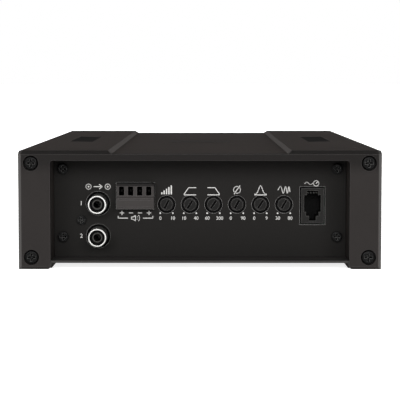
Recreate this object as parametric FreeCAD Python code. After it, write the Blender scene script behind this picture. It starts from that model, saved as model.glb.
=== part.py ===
import FreeCAD, Part
import os

# A compact mono car amplifier, in millimetres.
# The control end faces -Y, +X is to the right when that end is looked at, +Z is up.
# The origin is the centre of the footprint, on the surface that the feet stand on.

Vector = FreeCAD.Vector

# Overall size
WIDTH = 156.0
HEIGHT = 51.0
LENGTH = 270.0

# Shell: an extruded inverted U with two raised plateaus and a valley between them
LEG_WIDTH = 13.8
ROOF_THICKNESS = 4.15
VALLEY_DEPTH = 1.4
VALLEY_HALF_WIDTH = 38.0
VALLEY_FLANK = 1.6
SHELL_EDGE_ROUND = 0.6
CHAMBER_WIDTH = 7.2
CHAMBER_FLOOR = 11.0
CHAMBER_TOP_WALL = 11.0
BOSS_SIZE = 7.8

# End bezels
BEZEL_DEPTH = 6.0
BEZEL_CHAMFER = 1.4
BEZEL_TOP_CORNER = 1.3
BEZEL_FOOT_CORNER = 1.6

# Bottom plate
PLATE_BOTTOM = 2.8
PLATE_THICKNESS = 1.0
PLATE_END_SETBACK = 0.5

# End panels, set back behind the end planes
PANEL_SETBACK = 15.5
PANEL_THICKNESS = 1.5
PANEL_SCREW_INSET = 4.2
PANEL_SCREW_DROP = 4.35
PANEL_SCREW_RISE = 8.9

# Clearances, and how far the tool of a hole or cut runs past a face
SLIP = 0.15
SOCKET_GAP = 0.3
THREAD_GAP = 0.05
PAST = 1.0

# Mounting holes through the legs
MOUNT_RADIUS = 2.25
MOUNT_SINK_RADIUS = 3.3
MOUNT_SINK_DEPTH = 2.5
MOUNT_FROM_END = 32.4

# Plateau inlays and valley badge
INLAY_INSET = 19.0
INLAY_WIDTH = 11.5
INLAY_LENGTH = 68.0
INLAY_SLANT = 6.0
INLAY_POCKET = 0.6
INLAY_THICKNESS = 0.45
BADGE_WIDTH = 30.0
BADGE_LENGTH = 16.0
BADGE_CORNER = 2.0
BADGE_POCKET = 0.3
BADGE_THICKNESS = 0.5

# Screws: head radius, head height, shank radius, shank length
BEZEL_SCREW = (2.85, 2.2, 1.45, 10.0)
PANEL_SCREW = (2.35, 1.5, 1.4, 8.0)
BOTTOM_SCREW = (2.75, 1.6, 1.4, 6.5)
BOARD_SCREW = (2.5, 1.8, 1.4, 4.6)
BLOCK_SCREW = (2.1, 1.2, 1.2, 7.0)
CLAMP_SCREW = (2.75, 2.0, 1.5, 9.6)
TERMINAL_SCREW = (4.0, 2.8, 2.0, 10.0)
BEZEL_SCREW_INSET = 5.6
BEZEL_SCREW_EDGE = 5.25
BEZEL_SINK_RADIUS = 3.35
BEZEL_SINK_DEPTH = 2.6
BEZEL_SCREW_BORE = 20.0
PANEL_SCREW_BORE_MARGIN = 2.0
BOTTOM_SCREW_BORE_MARGIN = 0.5

# Line inputs
RCA_X = -44.65
RCA_LEVELS = (27.3, 12.9)
RCA_SHELL_RADIUS = 4.15
RCA_SHELL_WALL = 0.75
RCA_REACH = 8.0
RCA_HOLE_RADIUS = 5.25
RCA_INSULATOR_SETBACK = 1.0
RCA_CONTACT_RADIUS = 2.2
RCA_BORE_RADIUS = 1.7
RCA_CONTACT_SETBACK = 1.4
RCA_BLOCK_X = (-55.4, -38.6)
RCA_BLOCK_Z = (6.5, 33.0)
RCA_SCREW_X = -52.0
RCA_SCREW_Z = 20.0
RCA_SEAT_WALL = 2.0
RCA_CONTACT_END = 1.0

# High level input socket
LEVEL_X = -28.3
LEVEL_WIDTH = 16.2
LEVEL_Z = (25.1, 36.2)
LEVEL_REACH = 4.0
LEVEL_STEP_Z = 29.7
LEVEL_STEP = 0.9
LEVEL_LEDGE_RISE = 1.05
LEVEL_RIM = 0.9
LEVEL_GROOVE = 0.4
LEVEL_GROOVE_LEVELS = (25.85, 29.25)
LEVEL_PITCH = 3.96
LEVEL_SLOT_WIDTH = 2.3
LEVEL_SLOT_Z = (30.95, 34.9)
LEVEL_SLOT_DEPTH = 11.0
LEVEL_PIN = (0.6, 1.0)
LEVEL_PIN_LENGTH = 7.5

# Slotted adjusters
POT_FIRST_X = -14.66
POT_PITCH = 10.3
POT_Z = 26.85
POT_BODY_WIDTH = 9.3
POT_BODY_HEIGHT = 10.4
POT_HOLE_RADIUS = 3.85
POT_BUSH_RADIUS = 3.55
POT_SHAFT_RADIUS = 2.9
POT_SLOT = (4.3, 0.9, 1.1)
POT_SHAFT_CHAMFER = 0.3
POT_BORE_END = 1.5
POT_SLOT_LEANS = (27.0, 32.0, 35.0, 29.0, 33.0, 30.0)

# Remote jack
JACK_X = 49.3
JACK_WIDTH = 9.8
JACK_Z = (18.6, 34.0)
JACK_REACH = 0.4
JACK_GAP = 0.6
JACK_MOUTH_WIDTH = 7.4
JACK_MOUTH_Z = (23.6, 31.0)
JACK_STEP_WIDTH = 5.6
JACK_STEP_Z = 21.8
JACK_LATCH_WIDTH = 3.1
JACK_LATCH_Z = 19.7
JACK_DEPTH = 9.6
JACK_COMB_HEIGHT = 1.9
JACK_CONTACT_PITCH = 1.27
JACK_CONTACT = (0.46, 0.5)
JACK_CONTACT_SETBACK = 1.0

# Boards and what holds them
BOARD_THICKNESS = 1.6
BOARD_GAP = 0.5
STANDOFF_HEIGHT = 4.0
STANDOFF_RADIUS = 3.0
STANDOFF_X = 48.0
STANDOFF_FROM_END = 39.0
INPUT_BOARD_GAP = 10.0
INPUT_BOARD_Z = (6.0, 44.0)
LINK_SIZE = (40.0, 5.4, 2.6)
INPUT_CHIPS_X = (-30.0, 0.0, 30.0)
INPUT_CHIP = (10.0, 1.8, 6.0)
INPUT_CHIP_Z = 22.0
BOARD_CHIPS_X = (-12.0, 12.0)
BOARD_CHIP = (10.0, 8.0, 2.0)
BOARD_CHIP_GAP = 17.0

# Power stage
TRANSISTOR_COUNT = 5
TRANSISTOR_PITCH = 22.0
TRANSISTOR_WIDTH = 10.2
TRANSISTOR_BODY = (4.5, 9.2)
TRANSISTOR_TAB = (1.3, 15.6)
TRANSISTOR_HOLE_RADIUS = 1.8
TRANSISTOR_HOLE_DROP = 2.9
TRANSISTOR_LEG = 0.6
TRANSISTOR_LEG_PITCH = 2.54
TRANSISTOR_FOOT_INSET = 1.5
PAD_THICKNESS = 0.3
PAD_MARGIN = 4.0
BAR_THICKNESS = 2.0
BAR_HEIGHT = 6.0
BAR_BOSS_RADIUS = 3.2

# Wound rings: middle x, outer radius, inner radius, height; and their distance from what is behind them
TRANSFORMER = (-18.0, 22.0, 9.0, 20.0)
TRANSFORMER_FROM_PANEL = 60.0
CHOKE = (-20.0, 17.0, 7.0, 16.0)
CHOKE_FROM_BOARD = 58.4
WINDING_THICKNESS = 2.5
CAPACITOR_RADIUS = 8.0
RAIL_CAPACITOR_HEIGHT = 32.0
INPUT_CAPACITOR_HEIGHT = 25.0
CAPACITORS_X = (14.0, 34.0)
CAPACITOR_SPREAD = 10.0
INPUT_CAPACITOR_SHIFT = 2.0
CAPACITOR_ROUND = 0.8

# Rear connections
WELL_WIDTH = 11.0
WELL_RIB = 1.6
WELL_DEPTH = 9.0
BLOCK_TOP = 34.0
BLOCK_END_SETBACK = 4.0
BLOCK_INSIDE = 12.0
POWER_BLOCK_X = 16.0
POWER_WAYS = 3
SPEAKER_BLOCK_X = -55.5
SPEAKER_WAYS = 2
TERMINAL_Z = 24.0
CONTACT_PLATE_THICKNESS = 1.2
FUSE_HOLDER_X = (-18.0, 6.0)
FUSE_HOLDER_TOP = 38.0
FUSE_HOLDER_REACH = 5.5
FUSE_PITCH = 11.0
FUSE_Z = 25.0
FUSE_BODY = (4.9, 10.8, 18.9)
FUSE_BLADE = (0.65, 7.5, 5.2)
FUSE_POCKET_DEPTH = 3.0
FUSE_CAP_SHARE = 0.55
FUSE_WAIST = 0.5
FUSE_EDGE = 0.2
LIGHT_X = 11.0
LIGHT_Z = 40.0
LIGHT_RADIUS = 1.5
LIGHT_FLANGE = 0.5
LIGHT_REACH = 1.0
LIGHT_LEAD = 0.5
LIGHT_LEAD_SPREAD = 0.9
LIGHT_LEAD_BACK = 3.0

# Levels and planes that follow from the sizes above
HALF_WIDTH = WIDTH / 2
HALF_LENGTH = LENGTH / 2
INNER_X = HALF_WIDTH - LEG_WIDTH
ROOF_Z = HEIGHT - ROOF_THICKNESS
VALLEY_Z = HEIGHT - VALLEY_DEPTH
SHELL_END = HALF_LENGTH - BEZEL_DEPTH
PANEL_FACE = HALF_LENGTH - PANEL_SETBACK
PANEL_BACK = PANEL_FACE - PANEL_THICKNESS
PLATE_TOP = PLATE_BOTTOM + PLATE_THICKNESS
PANEL_SCREW_X = INNER_X - PANEL_SCREW_INSET
PANEL_SCREW_LEVELS = (PLATE_TOP + PANEL_SCREW_RISE, ROOF_Z - PANEL_SCREW_DROP)
BEZEL_SCREW_X = HALF_WIDTH - BEZEL_SCREW_INSET
BEZEL_SCREW_LEVELS = (BEZEL_SCREW_EDGE, HEIGHT - BEZEL_SCREW_EDGE)
RIB_TOP = PLATE_TOP + PANEL_SCREW_RISE + BOSS_SIZE / 2 - SLIP * 2
BOSS_X = INNER_X - BOSS_SIZE
LEG_CENTRE_X = HALF_WIDTH - LEG_WIDTH / 2
MOUNT_Y = HALF_LENGTH - MOUNT_FROM_END
BOARD_BOTTOM = PLATE_TOP + STANDOFF_HEIGHT
BOARD_TOP = BOARD_BOTTOM + BOARD_THICKNESS
BOARD_HALF_WIDTH = BOSS_X - BOARD_GAP
INPUT_BOARD_FACE = PANEL_BACK - INPUT_BOARD_GAP
INPUT_BOARD_BACK = INPUT_BOARD_FACE - BOARD_THICKNESS
STANDOFF_Y = HALF_LENGTH - STANDOFF_FROM_END
TRANSFORMER_Y = PANEL_BACK - TRANSFORMER_FROM_PANEL
CHOKE_Y = CHOKE_FROM_BOARD - INPUT_BOARD_BACK
BOARD_CHIP_Y = LINK_SIZE[1] + BOARD_CHIP_GAP + BOARD_CHIP[1] / 2 - INPUT_BOARD_BACK
BLOCK_REAR = HALF_LENGTH - BLOCK_END_SETBACK
BLOCK_FRONT = PANEL_BACK - BLOCK_INSIDE
WELL_FLOOR = BLOCK_REAR - WELL_DEPTH
FUSE_HOLDER_REAR = PANEL_FACE + FUSE_HOLDER_REACH
FUSE_FLOOR = FUSE_HOLDER_REAR - FUSE_POCKET_DEPTH
BOTTOM_SCREW_ROWS = (MOUNT_Y - 6.0, MOUNT_Y / 3)


# Basic solids and placing


def block(x_span, y_span, z_span):
    """A box between two values along each axis."""
    size = [high - low for low, high in (x_span, y_span, z_span)]
    return Part.makeBox(*size, Vector(x_span[0], y_span[0], z_span[0]))


def rod(radius, start, direction, length):
    """A cylinder that starts at a point and runs along a direction."""
    return Part.makeCylinder(radius, length, Vector(*start), Vector(*direction))


def prism_along_y(points, y_low, y_high):
    """A polygon of (x, z) points drawn out between two values of y."""
    corners = [Vector(x, y_low, z) for x, z in points]
    face = Part.Face(Part.makePolygon(corners + corners[:1]))
    return face.extrude(Vector(0, y_high - y_low, 0))


def prism_along_z(points, z_low, z_high):
    """A polygon of (x, y) points drawn out between two values of z."""
    corners = [Vector(x, y, z_low) for x, y in points]
    face = Part.Face(Part.makePolygon(corners + corners[:1]))
    return face.extrude(Vector(0, 0, z_high - z_low))


def prism_along_x(points, x_low, x_high):
    """A polygon of (y, z) points drawn out between two values of x."""
    corners = [Vector(x_low, y, z) for y, z in points]
    face = Part.Face(Part.makePolygon(corners + corners[:1]))
    return face.extrude(Vector(x_high - x_low, 0, 0))


def fuse(shapes):
    """One clean solid out of several that touch."""
    joined = shapes[0].fuse(shapes[1:]) if len(shapes) > 1 else shapes[0]
    return joined.removeSplitter()


def cut(shape, tools):
    """A solid less a list of others."""
    return shape.cut(Part.makeCompound(tools))


def other_side(shape):
    """The same shape on the other side of the middle plane x = 0."""
    return shape.mirror(Vector(0, 0, 0), Vector(1, 0, 0))


def other_end(shape):
    """The same shape at the other end, across the middle plane y = 0."""
    return shape.mirror(Vector(0, 0, 0), Vector(0, 1, 0))


def both_sides(shape):
    """A shape and its copy across the middle."""
    return [shape, other_side(shape)]


def straight_edges(shape, test):
    """The straight edges whose two ends both pass a test."""
    found = []
    for edge in shape.Edges:
        ends = [vertex.Point for vertex in edge.Vertexes]
        if len(ends) == 2 and all(test(point) for point in ends):
            found.append(edge)
    return found


def near(value, target):
    """Whether two lengths are the same within a hundredth."""
    return abs(value - target) < 0.01


def save(node, shapes):
    """Write the solids of one named piece, or group of like pieces."""
    solids = [solid for shape in shapes for solid in shape.Solids]
    shape = solids[0] if len(solids) == 1 else Part.makeCompound(solids)
    shape.exportStep(os.path.join("parts", node + ".step"))


# Screws: drawn with the head's face at the origin and the shank along +Z


def cross_recess(radius, depth):
    """A tapered cross-shaped driver recess, open at z = 0."""
    arm = radius * 0.28
    upright = block((-arm, arm), (-radius, radius), (0, depth))
    level = block((-radius, radius), (-arm, arm), (0, depth))
    return upright.fuse(level).common(Part.makeCone(radius, radius * 0.3, depth))


def screw(sizes, flange_radius=0.0):
    """A pan head screw with a cross recess and, if asked, a flange under the head."""
    head_radius, head_height, shank_radius, shank_length = sizes
    head = Part.makeCylinder(head_radius, head_height)
    outer_rim = [edge for edge in head.Edges if edge.Closed and near(edge.Curve.Center.z, 0)]
    head = head.makeFillet(head_height * 0.3, outer_rim)
    pieces = [head, rod(shank_radius, (0, 0, head_height), (0, 0, 1), shank_length)]
    if flange_radius:
        pieces.append(rod(flange_radius, (0, 0, head_height * 0.7), (0, 0, 1), head_height * 0.3))
    return cut(fuse(pieces), [cross_recess(head_radius * 0.62, head_height * 0.7)])


def placed(shape, point, direction):
    """A shape drawn along +Z, moved to a point and turned to a direction."""
    copy = shape.copy()
    turn = FreeCAD.Rotation(Vector(0, 0, 1), Vector(*direction))
    copy.Placement = FreeCAD.Placement(Vector(*point), turn)
    return copy


# Shell, bezels, plate and panels


def outer_profile(y_low, y_high):
    """The full outline of the body: two plateaus with a shallow valley between."""
    flank_top = VALLEY_HALF_WIDTH + VALLEY_FLANK
    right = [(HALF_WIDTH, 0), (HALF_WIDTH, HEIGHT), (flank_top, HEIGHT), (VALLEY_HALF_WIDTH, VALLEY_Z)]
    left = [(-x, z) for x, z in reversed(right)]
    return prism_along_y(right + left, y_low, y_high)


def inner_space(y_low, y_high):
    """The space between the legs, open at the bottom."""
    return block((-INNER_X, INNER_X), (y_low, y_high), (-PAST, ROOF_Z))


def mounting_holes():
    """The four upright holes for the fixing screws, sunk for their heads."""
    holes = []
    for x in (-LEG_CENTRE_X, LEG_CENTRE_X):
        for y in (-MOUNT_Y, MOUNT_Y):
            holes.append(rod(MOUNT_RADIUS, (x, y, -PAST), (0, 0, 1), HEIGHT + 2 * PAST))
            holes.append(rod(MOUNT_SINK_RADIUS, (x, y, HEIGHT - MOUNT_SINK_DEPTH), (0, 0, 1), HEIGHT))
    return holes


def inlay_outline(margin):
    """The slanted outline of one plateau inlay, grown by a margin."""
    centre = HALF_WIDTH - INLAY_INSET
    half_width = INLAY_WIDTH / 2 + margin
    half_length = INLAY_LENGTH / 2 + margin
    slant = INLAY_SLANT / 2
    return [
        (centre - half_width, -half_length - slant),
        (centre + half_width, -half_length + slant),
        (centre + half_width, half_length + slant),
        (centre - half_width, half_length - slant),
    ]


def badge(margin, z_low, z_high):
    """The small rounded plate in the valley, grown by a margin."""
    half_width = BADGE_WIDTH / 2 + margin
    half_length = BADGE_LENGTH / 2 + margin
    plate = block((-half_width, half_width), (-half_length, half_length), (z_low, z_high))
    upright = [edge for edge in plate.Edges if near(edge.Length, z_high - z_low)]
    return plate.makeFillet(BADGE_CORNER, upright)


def bezel_screw_points(y):
    """The four places of the bezel screws in one plane."""
    return [(x, y, z) for x in (-BEZEL_SCREW_X, BEZEL_SCREW_X) for z in BEZEL_SCREW_LEVELS]


def panel_screw_points(y):
    """The four places of the panel screws in one plane."""
    return [(x, y, z) for x in (-PANEL_SCREW_X, PANEL_SCREW_X) for z in PANEL_SCREW_LEVELS]


def bottom_screw_points():
    """The places of the screws that hold the bottom plate to the shell's ribs."""
    rows = [sign * y for y in BOTTOM_SCREW_ROWS for sign in (-1, 1)]
    return [(x, y) for x in (-PANEL_SCREW_X, PANEL_SCREW_X) for y in rows]


def clamp_screw_points():
    """The places, on the right-hand leg, of the screws that hold the clamp bar."""
    reach = TRANSISTOR_PITCH * (TRANSISTOR_COUNT + 1) / 2 + PAD_MARGIN
    return [(INNER_X, -reach), (INNER_X, reach)]


def clamp_level():
    """The height of the clamp bar's middle: across the transistors' bodies."""
    return RIB_TOP + 2 * TRANSISTOR_LEG + TRANSISTOR_BODY[1] / 2


def thread_bores(sizes, starts, direction, depth):
    """The bores, a little wider than a screw's shank, that a set of screws cuts its thread into."""
    return [rod(sizes[2] + THREAD_GAP, start, direction, depth) for start in starts]


def both_ends(shapes):
    """Shapes and their copies at the other end."""
    return shapes + [other_end(shape) for shape in shapes]


def shell():
    """The extruded body with its screw bosses, ribs, chambers and pockets."""
    body = outer_profile(-SHELL_END, SHELL_END).cut(inner_space(-SHELL_END - PAST, SHELL_END + PAST))
    rib = block((BOSS_X, INNER_X), (-PANEL_BACK, PANEL_BACK), (PLATE_TOP, RIB_TOP))
    boss = block((BOSS_X, INNER_X), (-PANEL_BACK, PANEL_BACK), (ROOF_Z - BOSS_SIZE, ROOF_Z))
    body = fuse([body] + both_sides(rib) + both_sides(boss))
    long_edges = straight_edges(body, lambda p: near(abs(p.x), HALF_WIDTH) and near(p.z, HEIGHT))
    long_edges = [edge for edge in long_edges if edge.Length > BEZEL_DEPTH]
    body = body.makeFillet(SHELL_EDGE_ROUND, long_edges)
    chamber_x = (LEG_CENTRE_X - CHAMBER_WIDTH / 2, LEG_CENTRE_X + CHAMBER_WIDTH / 2)
    chamber = block(chamber_x, (-HALF_LENGTH, HALF_LENGTH), (CHAMBER_FLOOR, HEIGHT - CHAMBER_TOP_WALL))
    tools = both_sides(chamber) + mounting_holes()
    starts = bezel_screw_points(HALF_LENGTH)
    tools += both_ends(thread_bores(BEZEL_SCREW, starts, (0, -1, 0), BEZEL_SCREW_BORE))
    starts = panel_screw_points(PANEL_FACE)
    panel_bore = PANEL_SCREW[3] + PANEL_SCREW_BORE_MARGIN
    tools += both_ends(thread_bores(PANEL_SCREW, starts, (0, -1, 0), panel_bore))
    bottom_bore = PLATE_BOTTOM + BOTTOM_SCREW[3] + BOTTOM_SCREW_BORE_MARGIN
    starts = [(x, y, 0) for x, y in bottom_screw_points()]
    tools += thread_bores(BOTTOM_SCREW, starts, (0, 0, 1), bottom_bore)
    starts = [(x - PAST, y, clamp_level()) for x, y in clamp_screw_points()]
    for bore in thread_bores(CLAMP_SCREW, starts, (1, 0, 0), LEG_WIDTH / 2):
        tools += both_sides(bore)
    pocket = prism_along_z(inlay_outline(SLIP), HEIGHT - INLAY_POCKET, HEIGHT + PAST)
    tools += both_sides(pocket)
    tools.append(badge(SLIP, VALLEY_Z - BADGE_POCKET, VALLEY_Z + PAST))
    return cut(body, tools)


def front_bezel():
    """The cast frame on the control end, with a sloping top and chamfered flanks."""
    body = outer_profile(-HALF_LENGTH, -SHELL_END)
    slope = prism_along_x(
        [(-SHELL_END, HEIGHT), (-HALF_LENGTH, VALLEY_Z), (-HALF_LENGTH - PAST, VALLEY_Z),
         (-HALF_LENGTH - PAST, HEIGHT + PAST), (-SHELL_END, HEIGHT + PAST)],
        -HALF_WIDTH - PAST, HALF_WIDTH + PAST)
    body = body.cut(slope)
    flanks = straight_edges(body, lambda p: near(abs(p.x), HALF_WIDTH) and near(p.y, -HALF_LENGTH))
    body = body.makeChamfer(BEZEL_CHAMFER, flanks)
    opening = inner_space(-HALF_LENGTH - PAST, -SHELL_END + PAST)
    corners = straight_edges(opening, lambda p: near(abs(p.x), INNER_X) and near(p.z, ROOF_Z))
    corners = [edge for edge in corners if near(edge.Length, BEZEL_DEPTH + 2 * PAST)]
    body = body.cut(opening.makeFillet(BEZEL_TOP_CORNER, corners))
    feet = straight_edges(body, lambda p: near(abs(p.x), INNER_X) and near(p.z, 0))
    body = body.makeFillet(BEZEL_FOOT_CORNER, feet)
    tools = []
    for point in bezel_screw_points(-HALF_LENGTH):
        tools.append(rod(BEZEL_SCREW[2] + SLIP, point, (0, 1, 0), BEZEL_DEPTH))
        tools.append(rod(BEZEL_SINK_RADIUS, point, (0, 1, 0), BEZEL_SINK_DEPTH))
    return cut(body, tools)


def bezel_screws():
    """Four screws through each bezel into the shell's ends."""
    head_plane = HALF_LENGTH - BEZEL_SINK_DEPTH + BEZEL_SCREW[1]
    front = [placed(screw(BEZEL_SCREW), point, (0, 1, 0)) for point in bezel_screw_points(-head_plane)]
    rear = [placed(screw(BEZEL_SCREW), point, (0, -1, 0)) for point in bezel_screw_points(head_plane)]
    return front + rear


def bottom_plate():
    """The sheet that closes the space between the legs."""
    reach = HALF_LENGTH - PLATE_END_SETBACK
    half_width = INNER_X - SLIP
    plate = block((-half_width, half_width), (-reach, reach), (PLATE_BOTTOM, PLATE_TOP))
    holes = [rod(BOTTOM_SCREW[2] + SLIP, (x, y, 0), (0, 0, 1), HEIGHT) for x, y in bottom_screw_points()]
    return cut(plate, holes)


def bottom_screws():
    """Screws from below, through the bottom plate into the shell's ribs."""
    level = PLATE_BOTTOM - BOTTOM_SCREW[1]
    return [placed(screw(BOTTOM_SCREW), (x, y, level), (0, 0, 1)) for x, y in bottom_screw_points()]


def blank_panel(y_low, y_high):
    """An end panel without its cut-outs: it fills the opening with a small gap all round."""
    half_width = INNER_X - SLIP
    return block((-half_width, half_width), (y_low, y_high), (PLATE_TOP, ROOF_Z - SLIP))


def panel_hole(radius, start):
    """The tool for a round hole right through an end panel, from a point on its -Y side."""
    return rod(radius, start, (0, 1, 0), PANEL_THICKNESS + 2 * PAST)


def panel_screws():
    """Four screws through each end panel into the shell's bosses."""
    head_plane = PANEL_FACE + PANEL_SCREW[1]
    front = [placed(screw(PANEL_SCREW), point, (0, 1, 0)) for point in panel_screw_points(-head_plane)]
    rear = [placed(screw(PANEL_SCREW), point, (0, -1, 0)) for point in panel_screw_points(head_plane)]
    return front + rear


def inlays():
    """The dark slanted strips set into the two plateaus."""
    floor = HEIGHT - INLAY_POCKET
    return both_sides(prism_along_z(inlay_outline(0.0), floor, floor + INLAY_THICKNESS))


def badge_plate():
    """The bare plate set into the valley."""
    floor = VALLEY_Z - BADGE_POCKET
    return [badge(0.0, floor, floor + BADGE_THICKNESS)]


# Control end: panel, line inputs, level socket, adjusters and remote jack


def pot_centres():
    """The middle of each adjuster, from left to right."""
    return [POT_FIRST_X + POT_PITCH * i for i in range(len(POT_SLOT_LEANS))]


def level_slots():
    """The middle of each way of the high level input socket."""
    return [LEVEL_X + LEVEL_PITCH * (i - 1.5) for i in range(4)]


def control_panel():
    """The recessed panel with an opening for each control."""
    panel = blank_panel(-PANEL_FACE, -PANEL_BACK)
    start = -PANEL_FACE - PAST
    tools = [panel_hole(RCA_HOLE_RADIUS, (RCA_X, start, z)) for z in RCA_LEVELS]
    tools += [panel_hole(POT_HOLE_RADIUS, (x, start, POT_Z)) for x in pot_centres()]
    tools += [panel_hole(PANEL_SCREW[2] + SLIP, point) for point in panel_screw_points(start)]
    tools.append(panel_hole(BLOCK_SCREW[2] + SLIP, (RCA_SCREW_X, start, RCA_SCREW_Z)))
    tools.append(around_level_socket(SOCKET_GAP))
    tools.append(around_jack(JACK_GAP))
    return cut(panel, tools)


def around_level_socket(gap):
    """The outline of the high level input socket, grown by a gap."""
    half_width = LEVEL_WIDTH / 2 + gap
    z_span = (LEVEL_Z[0] - gap, LEVEL_Z[1] + gap)
    y_span = (-PANEL_FACE - LEVEL_REACH, -INPUT_BOARD_FACE)
    return block((LEVEL_X - half_width, LEVEL_X + half_width), y_span, z_span)


def around_jack(gap):
    """The outline of the remote jack, grown by a gap."""
    half_width = JACK_WIDTH / 2 + gap
    z_span = (JACK_Z[0] - gap, JACK_Z[1] + gap)
    y_span = (-PANEL_FACE - JACK_REACH, -INPUT_BOARD_FACE)
    return block((JACK_X - half_width, JACK_X + half_width), y_span, z_span)


def rca_block():
    """The moulded body behind the panel that carries both line sockets."""
    body = block(RCA_BLOCK_X, (-PANEL_BACK, -INPUT_BOARD_FACE), RCA_BLOCK_Z)
    depth = INPUT_BOARD_GAP - RCA_SEAT_WALL
    tools = [rod(RCA_SHELL_RADIUS, (RCA_X, -PANEL_BACK, z), (0, 1, 0), depth) for z in RCA_LEVELS]
    screw_hole = rod(BLOCK_SCREW[2] + THREAD_GAP, (RCA_SCREW_X, -PANEL_BACK, RCA_SCREW_Z), (0, 1, 0), depth)
    return cut(body, tools + [screw_hole])


def rca_seat():
    """How far back the line sockets reach into their block."""
    return -PANEL_BACK + INPUT_BOARD_GAP - RCA_SEAT_WALL


def rca_shells():
    """The plated outer sleeves of the two line sockets."""
    front = -PANEL_FACE - RCA_REACH
    length = rca_seat() - front
    sleeves = []
    for z in RCA_LEVELS:
        outer = rod(RCA_SHELL_RADIUS, (RCA_X, front, z), (0, 1, 0), length)
        rims = [edge for edge in outer.Edges if edge.Closed and near(edge.Curve.Center.y, front)]
        outer = outer.makeChamfer(RCA_SHELL_WALL * 0.4, rims)
        bore = rod(RCA_SHELL_RADIUS - RCA_SHELL_WALL, (RCA_X, front, z), (0, 1, 0), length)
        sleeves.append(outer.cut(bore))
    return sleeves


def rca_insulators():
    """The black sleeves inside the shells, each bored for its centre contact."""
    front = -PANEL_FACE - RCA_REACH + RCA_INSULATOR_SETBACK
    length = rca_seat() - front
    sleeves = []
    for z in RCA_LEVELS:
        outer = rod(RCA_SHELL_RADIUS - RCA_SHELL_WALL, (RCA_X, front, z), (0, 1, 0), length)
        bore = rod(RCA_CONTACT_RADIUS, (RCA_X, front, z), (0, 1, 0), length)
        sleeves.append(outer.cut(bore))
    return sleeves


def rca_contacts():
    """The centre contact tubes of the two line sockets, closed at the back."""
    front = -PANEL_FACE - RCA_REACH + RCA_CONTACT_SETBACK
    length = rca_seat() - front
    tubes = []
    for z in RCA_LEVELS:
        outer = rod(RCA_CONTACT_RADIUS, (RCA_X, front, z), (0, 1, 0), length)
        bore = rod(RCA_BORE_RADIUS, (RCA_X, front, z), (0, 1, 0), length - RCA_CONTACT_END)
        tubes.append(outer.cut(bore))
    return tubes


def rca_block_screw():
    """The screw between the two line sockets that holds their block to the panel."""
    head_plane = -PANEL_FACE - BLOCK_SCREW[1]
    return [placed(screw(BLOCK_SCREW), (RCA_SCREW_X, head_plane, RCA_SCREW_Z), (0, 1, 0))]


def level_socket():
    """The high level input socket: four ways above a sloping ledge and a grooved lower bar."""
    body = around_level_socket(0.0)
    front = -PANEL_FACE - LEVEL_REACH
    back = front + LEVEL_STEP
    top = LEVEL_Z[1] + PAST
    outline = [(front, LEVEL_STEP_Z), (back, LEVEL_STEP_Z + LEVEL_LEDGE_RISE), (back, top),
               (front - PAST, top), (front - PAST, LEVEL_STEP_Z)]
    tools = [prism_along_x(outline, LEVEL_X - LEVEL_WIDTH, LEVEL_X + LEVEL_WIDTH)]
    groove_reach = LEVEL_WIDTH / 2 - LEVEL_RIM
    for z in LEVEL_GROOVE_LEVELS:
        tools.append(block((LEVEL_X - groove_reach, LEVEL_X + groove_reach), (front, front + LEVEL_GROOVE),
                           (z - LEVEL_GROOVE / 2, z + LEVEL_GROOVE / 2)))
    for x in level_slots():
        x_span = (x - LEVEL_SLOT_WIDTH / 2, x + LEVEL_SLOT_WIDTH / 2)
        tools.append(block(x_span, (front, front + LEVEL_SLOT_DEPTH), LEVEL_SLOT_Z))
    return cut(body, tools)


def level_pins():
    """The four flat pins that stand in the socket's ways."""
    floor = -PANEL_FACE - LEVEL_REACH + LEVEL_SLOT_DEPTH
    middle = sum(LEVEL_SLOT_Z) / 2
    thickness, height = LEVEL_PIN
    pins = []
    for x in level_slots():
        pins.append(block((x - thickness / 2, x + thickness / 2), (floor - LEVEL_PIN_LENGTH, floor),
                          (middle - height / 2, middle + height / 2)))
    return pins


def pot_body(x):
    """One adjuster's fixed body: a square case with a round bush in the panel's hole."""
    half_width = POT_BODY_WIDTH / 2
    half_height = POT_BODY_HEIGHT / 2
    case = block((x - half_width, x + half_width), (-PANEL_BACK + SLIP, -INPUT_BOARD_FACE),
                 (POT_Z - half_height, POT_Z + half_height))
    bush = rod(POT_BUSH_RADIUS, (x, -PANEL_FACE + SLIP, POT_Z), (0, 1, 0), PANEL_THICKNESS + PAST)
    bore_depth = PANEL_THICKNESS + INPUT_BOARD_GAP - POT_BORE_END
    start = -PANEL_FACE - PAST
    bore = rod(POT_SHAFT_RADIUS + THREAD_GAP, (x, start, POT_Z), (0, 1, 0), bore_depth + PAST)
    return cut(fuse([case, bush]), [bore])


def pot_shaft(x, lean):
    """One adjuster's turning shaft, flush with the panel, with a driver slot that leans to the right."""
    front = -PANEL_FACE
    length = PANEL_THICKNESS + INPUT_BOARD_GAP - POT_BORE_END - SLIP
    shaft = rod(POT_SHAFT_RADIUS, (x, front, POT_Z), (0, 1, 0), length)
    rims = [edge for edge in shaft.Edges if edge.Closed and near(edge.Curve.Center.y, front)]
    shaft = shaft.makeChamfer(POT_SHAFT_CHAMFER, rims)
    slot_length, slot_width, slot_depth = POT_SLOT
    slot = block((x - slot_width / 2, x + slot_width / 2), (front, front + slot_depth),
                 (POT_Z - slot_length / 2, POT_Z + slot_length / 2))
    slot.rotate(Vector(x, 0, POT_Z), Vector(0, 1, 0), lean)
    return shaft.cut(slot)


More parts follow.
